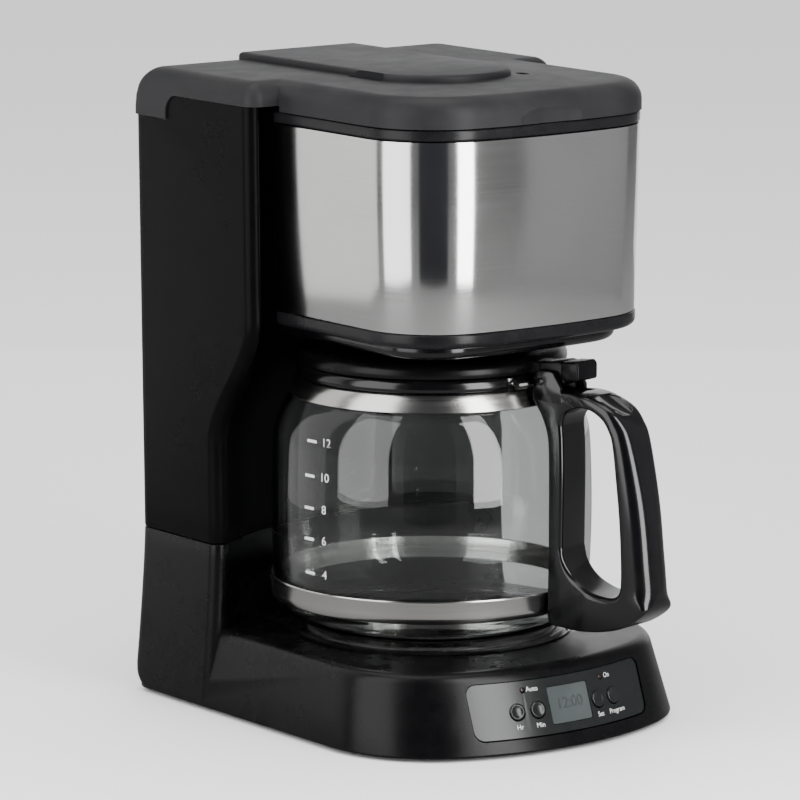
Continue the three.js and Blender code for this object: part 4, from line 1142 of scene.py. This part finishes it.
def make_carafe_cover():
    """The flip lid: a domed disc with a skirt, and the thumb lever behind the pin."""
    cover = turned("carafe_cover", [
        (0, 186.4), (58.5, 182.5), (58.5, 173.8), (61, 173.8), (61, 181.2), (67.6, 181.0),
        (68.6, 181.6), (69, 183),
        (68.9, 185.2), (68.0, 187.0), (66, 188.1), (62, 188.7), (30, 189.6), (12, 189.7), (11.4, 189),
        (10.6, 188.2),
        (0, 188.0)], 128)
    reach = block("lever_bridge", -8, 8, AXIS.y - 76, AXIS.y - 60, 182.2, 187.4)
    knuckle = pin_rod("lever_barrel", 8, 3.4, 1)
    neck = prism_across("lever_neck", [(73, 182), (77, 179), (84, 178.6), (88.6, 177.2), (90.6, 178.4),
                                       (91, 186), (89.6, 189), (86, 189.4), (73, 187.4)], 7.4)
    box = prism_across("lever_box", [(89.4, 180.4), (99.6, 180.4), (100.4, 181.4), (100.4, 188.4), (99, 190.2),
                                     (89.4, 189.4)], 8)
    bevel(neck, 0.8, 3)
    bevel(box, 0.9, 3)
    weld(cover, reach, knuckle, neck, box)
    cut(cover, pin_rod("bore", 20, 1.9))
    around_carafe(cover)
    dress(smooth(settle(cover), 40), SATIN_BLACK, "carafe_lid", "housing_black", "carafe_lid")


def prism_across(name, outline, half):
    """An outline of (r, z) in the handle's plane, run across it."""
    return stand_up(loft(name, [[(r, z, height) for r, z in outline] for height in (-half, half)]))


def stand_up(piece):
    """Turns what was lofted from (r, z, across) into the handle's plane."""
    for vertex in piece.data.vertices:
        vertex.co = in_handle_plane(*(vertex.co / MM))
    return settle(piece)


def make_basket():
    """The brew basket in the head, its spout, and the stem of the drip valve under it."""
    basket = turned("filter_basket", [
        (5, 208), (42, 211), (46, 214), (60, 281), (64.6, 281), (65, 281.6), (65, 283), (64.5, 283.5),
        (58.4, 283.5),
        (57.8, 283), (44.2, 216.2), (41, 213.4), (13, 211.2), (5, 210.6), (5, 208)], 96)
    spout = turned("spout", [(11, 198.2), (13, 198.2), (13, 209), (11, 209), (11, 198.2)], 64)
    dress(smooth(join(basket, spout), 40), SATIN_BLACK, "housing", "housing_black", "brew_basket")
    stem = turned("drip_stem", [
        (0, 191), (5.4, 191), (6, 191.6), (6, 193.2), (5.4, 193.8), (2.2, 194.4), (2.2, 211.9), (6.4, 211.9),
        (6.4, 213.2), (6, 213.6), (0, 213.6)], 64)
    dress(smooth(stem, 40), SATIN_BLACK, "drip_valve", "housing_black", "drip_valve")


for make in (make_base_shell, make_tower_shell, make_head, make_lid, make_plate, make_panel, make_panel_print,
             make_glass, make_level_marks, make_bands, make_handle, make_carafe_cover, make_basket):
    make()


# ------------------------------------------------------------------ floor, light and camera
ROOM_LIGHT, ROOM_SHEEN = 1.3, 0.2  # how bright the room is, and how bright it shows in polished faces


def make_stage():
    begin()
    bpy.ops.mesh.primitive_plane_add(size=12)
    floor = named("floor")
    material, tree, shader = new_material("pale_floor")
    path = tree.nodes.new("ShaderNodeLightPath")
    pale, seen_in_polish = (0.93, 0.93, 0.93), (0.2, 0.2, 0.2)
    tone = mix_colour(tree, path.outputs["Is Glossy Ray"], pale, seen_in_polish)
    tree.links.new(tone, shader.inputs["Base Color"])
    shader.inputs["Roughness"].default_value = 0.7
    floor.data.materials.append(material)
    world = bpy.data.worlds.new("studio")
    bpy.context.scene.world = world
    world.use_nodes = True
    tree = world.node_tree
    sky = tree.nodes["Background"]
    sky.inputs["Color"].default_value = (1, 1, 1, 1)
    path = tree.nodes.new("ShaderNodeLightPath")
    room = remap(tree, path.outputs["Is Glossy Ray"], 0, 1, ROOM_LIGHT, ROOM_SHEEN)
    tree.links.new(room, sky.inputs["Strength"])


def soft_box(name, bearing, distance, height, width, tall, brightness):
    """An area lamp in metres, at an angle from +X round the object: a strip beside it, or one overhead."""
    beside = distance > 0.5
    lamp = bpy.data.lights.new(name, "AREA")
    lamp.shape = "RECTANGLE"
    lamp.size, lamp.size_y, lamp.energy = width, tall, brightness * math.pi * width * tall
    holder = bpy.data.objects.new(name, lamp)
    bpy.context.scene.collection.objects.link(holder)
    angle = math.radians(bearing)
    place = Vector((distance * math.cos(angle), distance * math.sin(angle), height))
    holder.location = place
    lamp.diffuse_factor = 0.15 if beside else 1
    aim = Vector((0, 0, height if beside else 0)) - place
    holder.rotation_euler = aim.to_track_quat("-Z", "Y").to_euler()
    holder.visible_camera = False


def reflection_card(name, bearing, distance, width, tall, colour):
    """A card standing on the floor, in metres, that shows only in reflections."""
    begin()
    bpy.ops.mesh.primitive_plane_add(size=1)
    card = named(name)
    angle = math.radians(bearing)
    card.scale = (width, tall, 1)
    card.location = (distance * math.cos(angle), distance * math.sin(angle), tall / 2)
    card.rotation_euler = (math.pi / 2, 0, angle - math.pi / 2)
    material, _, shader = new_material(name)
    shader.inputs["Base Color"].default_value = (*colour, 1)
    shader.inputs["Roughness"].default_value = 0.9
    card.data.materials.append(material)
    card.visible_camera = card.visible_diffuse = card.visible_shadow = False
    card.visible_transmission = False


def make_camera():
    """A long lens to the front left, a little above the middle."""
    bearing, height, distance = math.radians(-37.56), math.radians(10.06), 2.652
    flat = math.cos(height)
    ahead = Vector((-math.sin(bearing) * flat, math.cos(bearing) * flat, -math.sin(height)))
    data = bpy.data.cameras.new("camera")
    data.lens, data.sensor_width = 234.6, 36
    data.shift_x, data.shift_y = -0.0372, -0.0061
    data.clip_end = 60
    camera = bpy.data.objects.new("camera", data)
    bpy.context.scene.collection.objects.link(camera)
    camera.location = Vector((0, 0.0086, 0.1615)) - ahead * distance
    camera.rotation_euler = ahead.to_track_quat("-Z", "Y").to_euler()
    bpy.context.scene.camera = camera


finish_cad_nodes()
make_stage()
# bearing in degrees, distance, then for a lamp its height, width, length and brightness; for a card its size
soft_box("left_box", 184, 0.62, 0.53, 0.42, 1.0, 3.6)
soft_box("front_box", 271, 0.62, 0.53, 0.22, 1.0, 12)
soft_box("top_box", 80, 0.3, 2.2, 1.8, 1.8, 2.6)
reflection_card("camera_side_card", 231, 0.66, 0.42, 1.0, (0.008, 0.0085, 0.013))
reflection_card("back_left_card", 130, 0.66, 0.6, 1.0, (0.6, 0.6, 0.595))
reflection_card("back_card", 52, 1.1, 1.5, 0.9, (0.68, 0.68, 0.69))
reflection_card("right_card", 320, 0.62, 0.5, 1.0, (0.16, 0.16, 0.165))
make_camera()
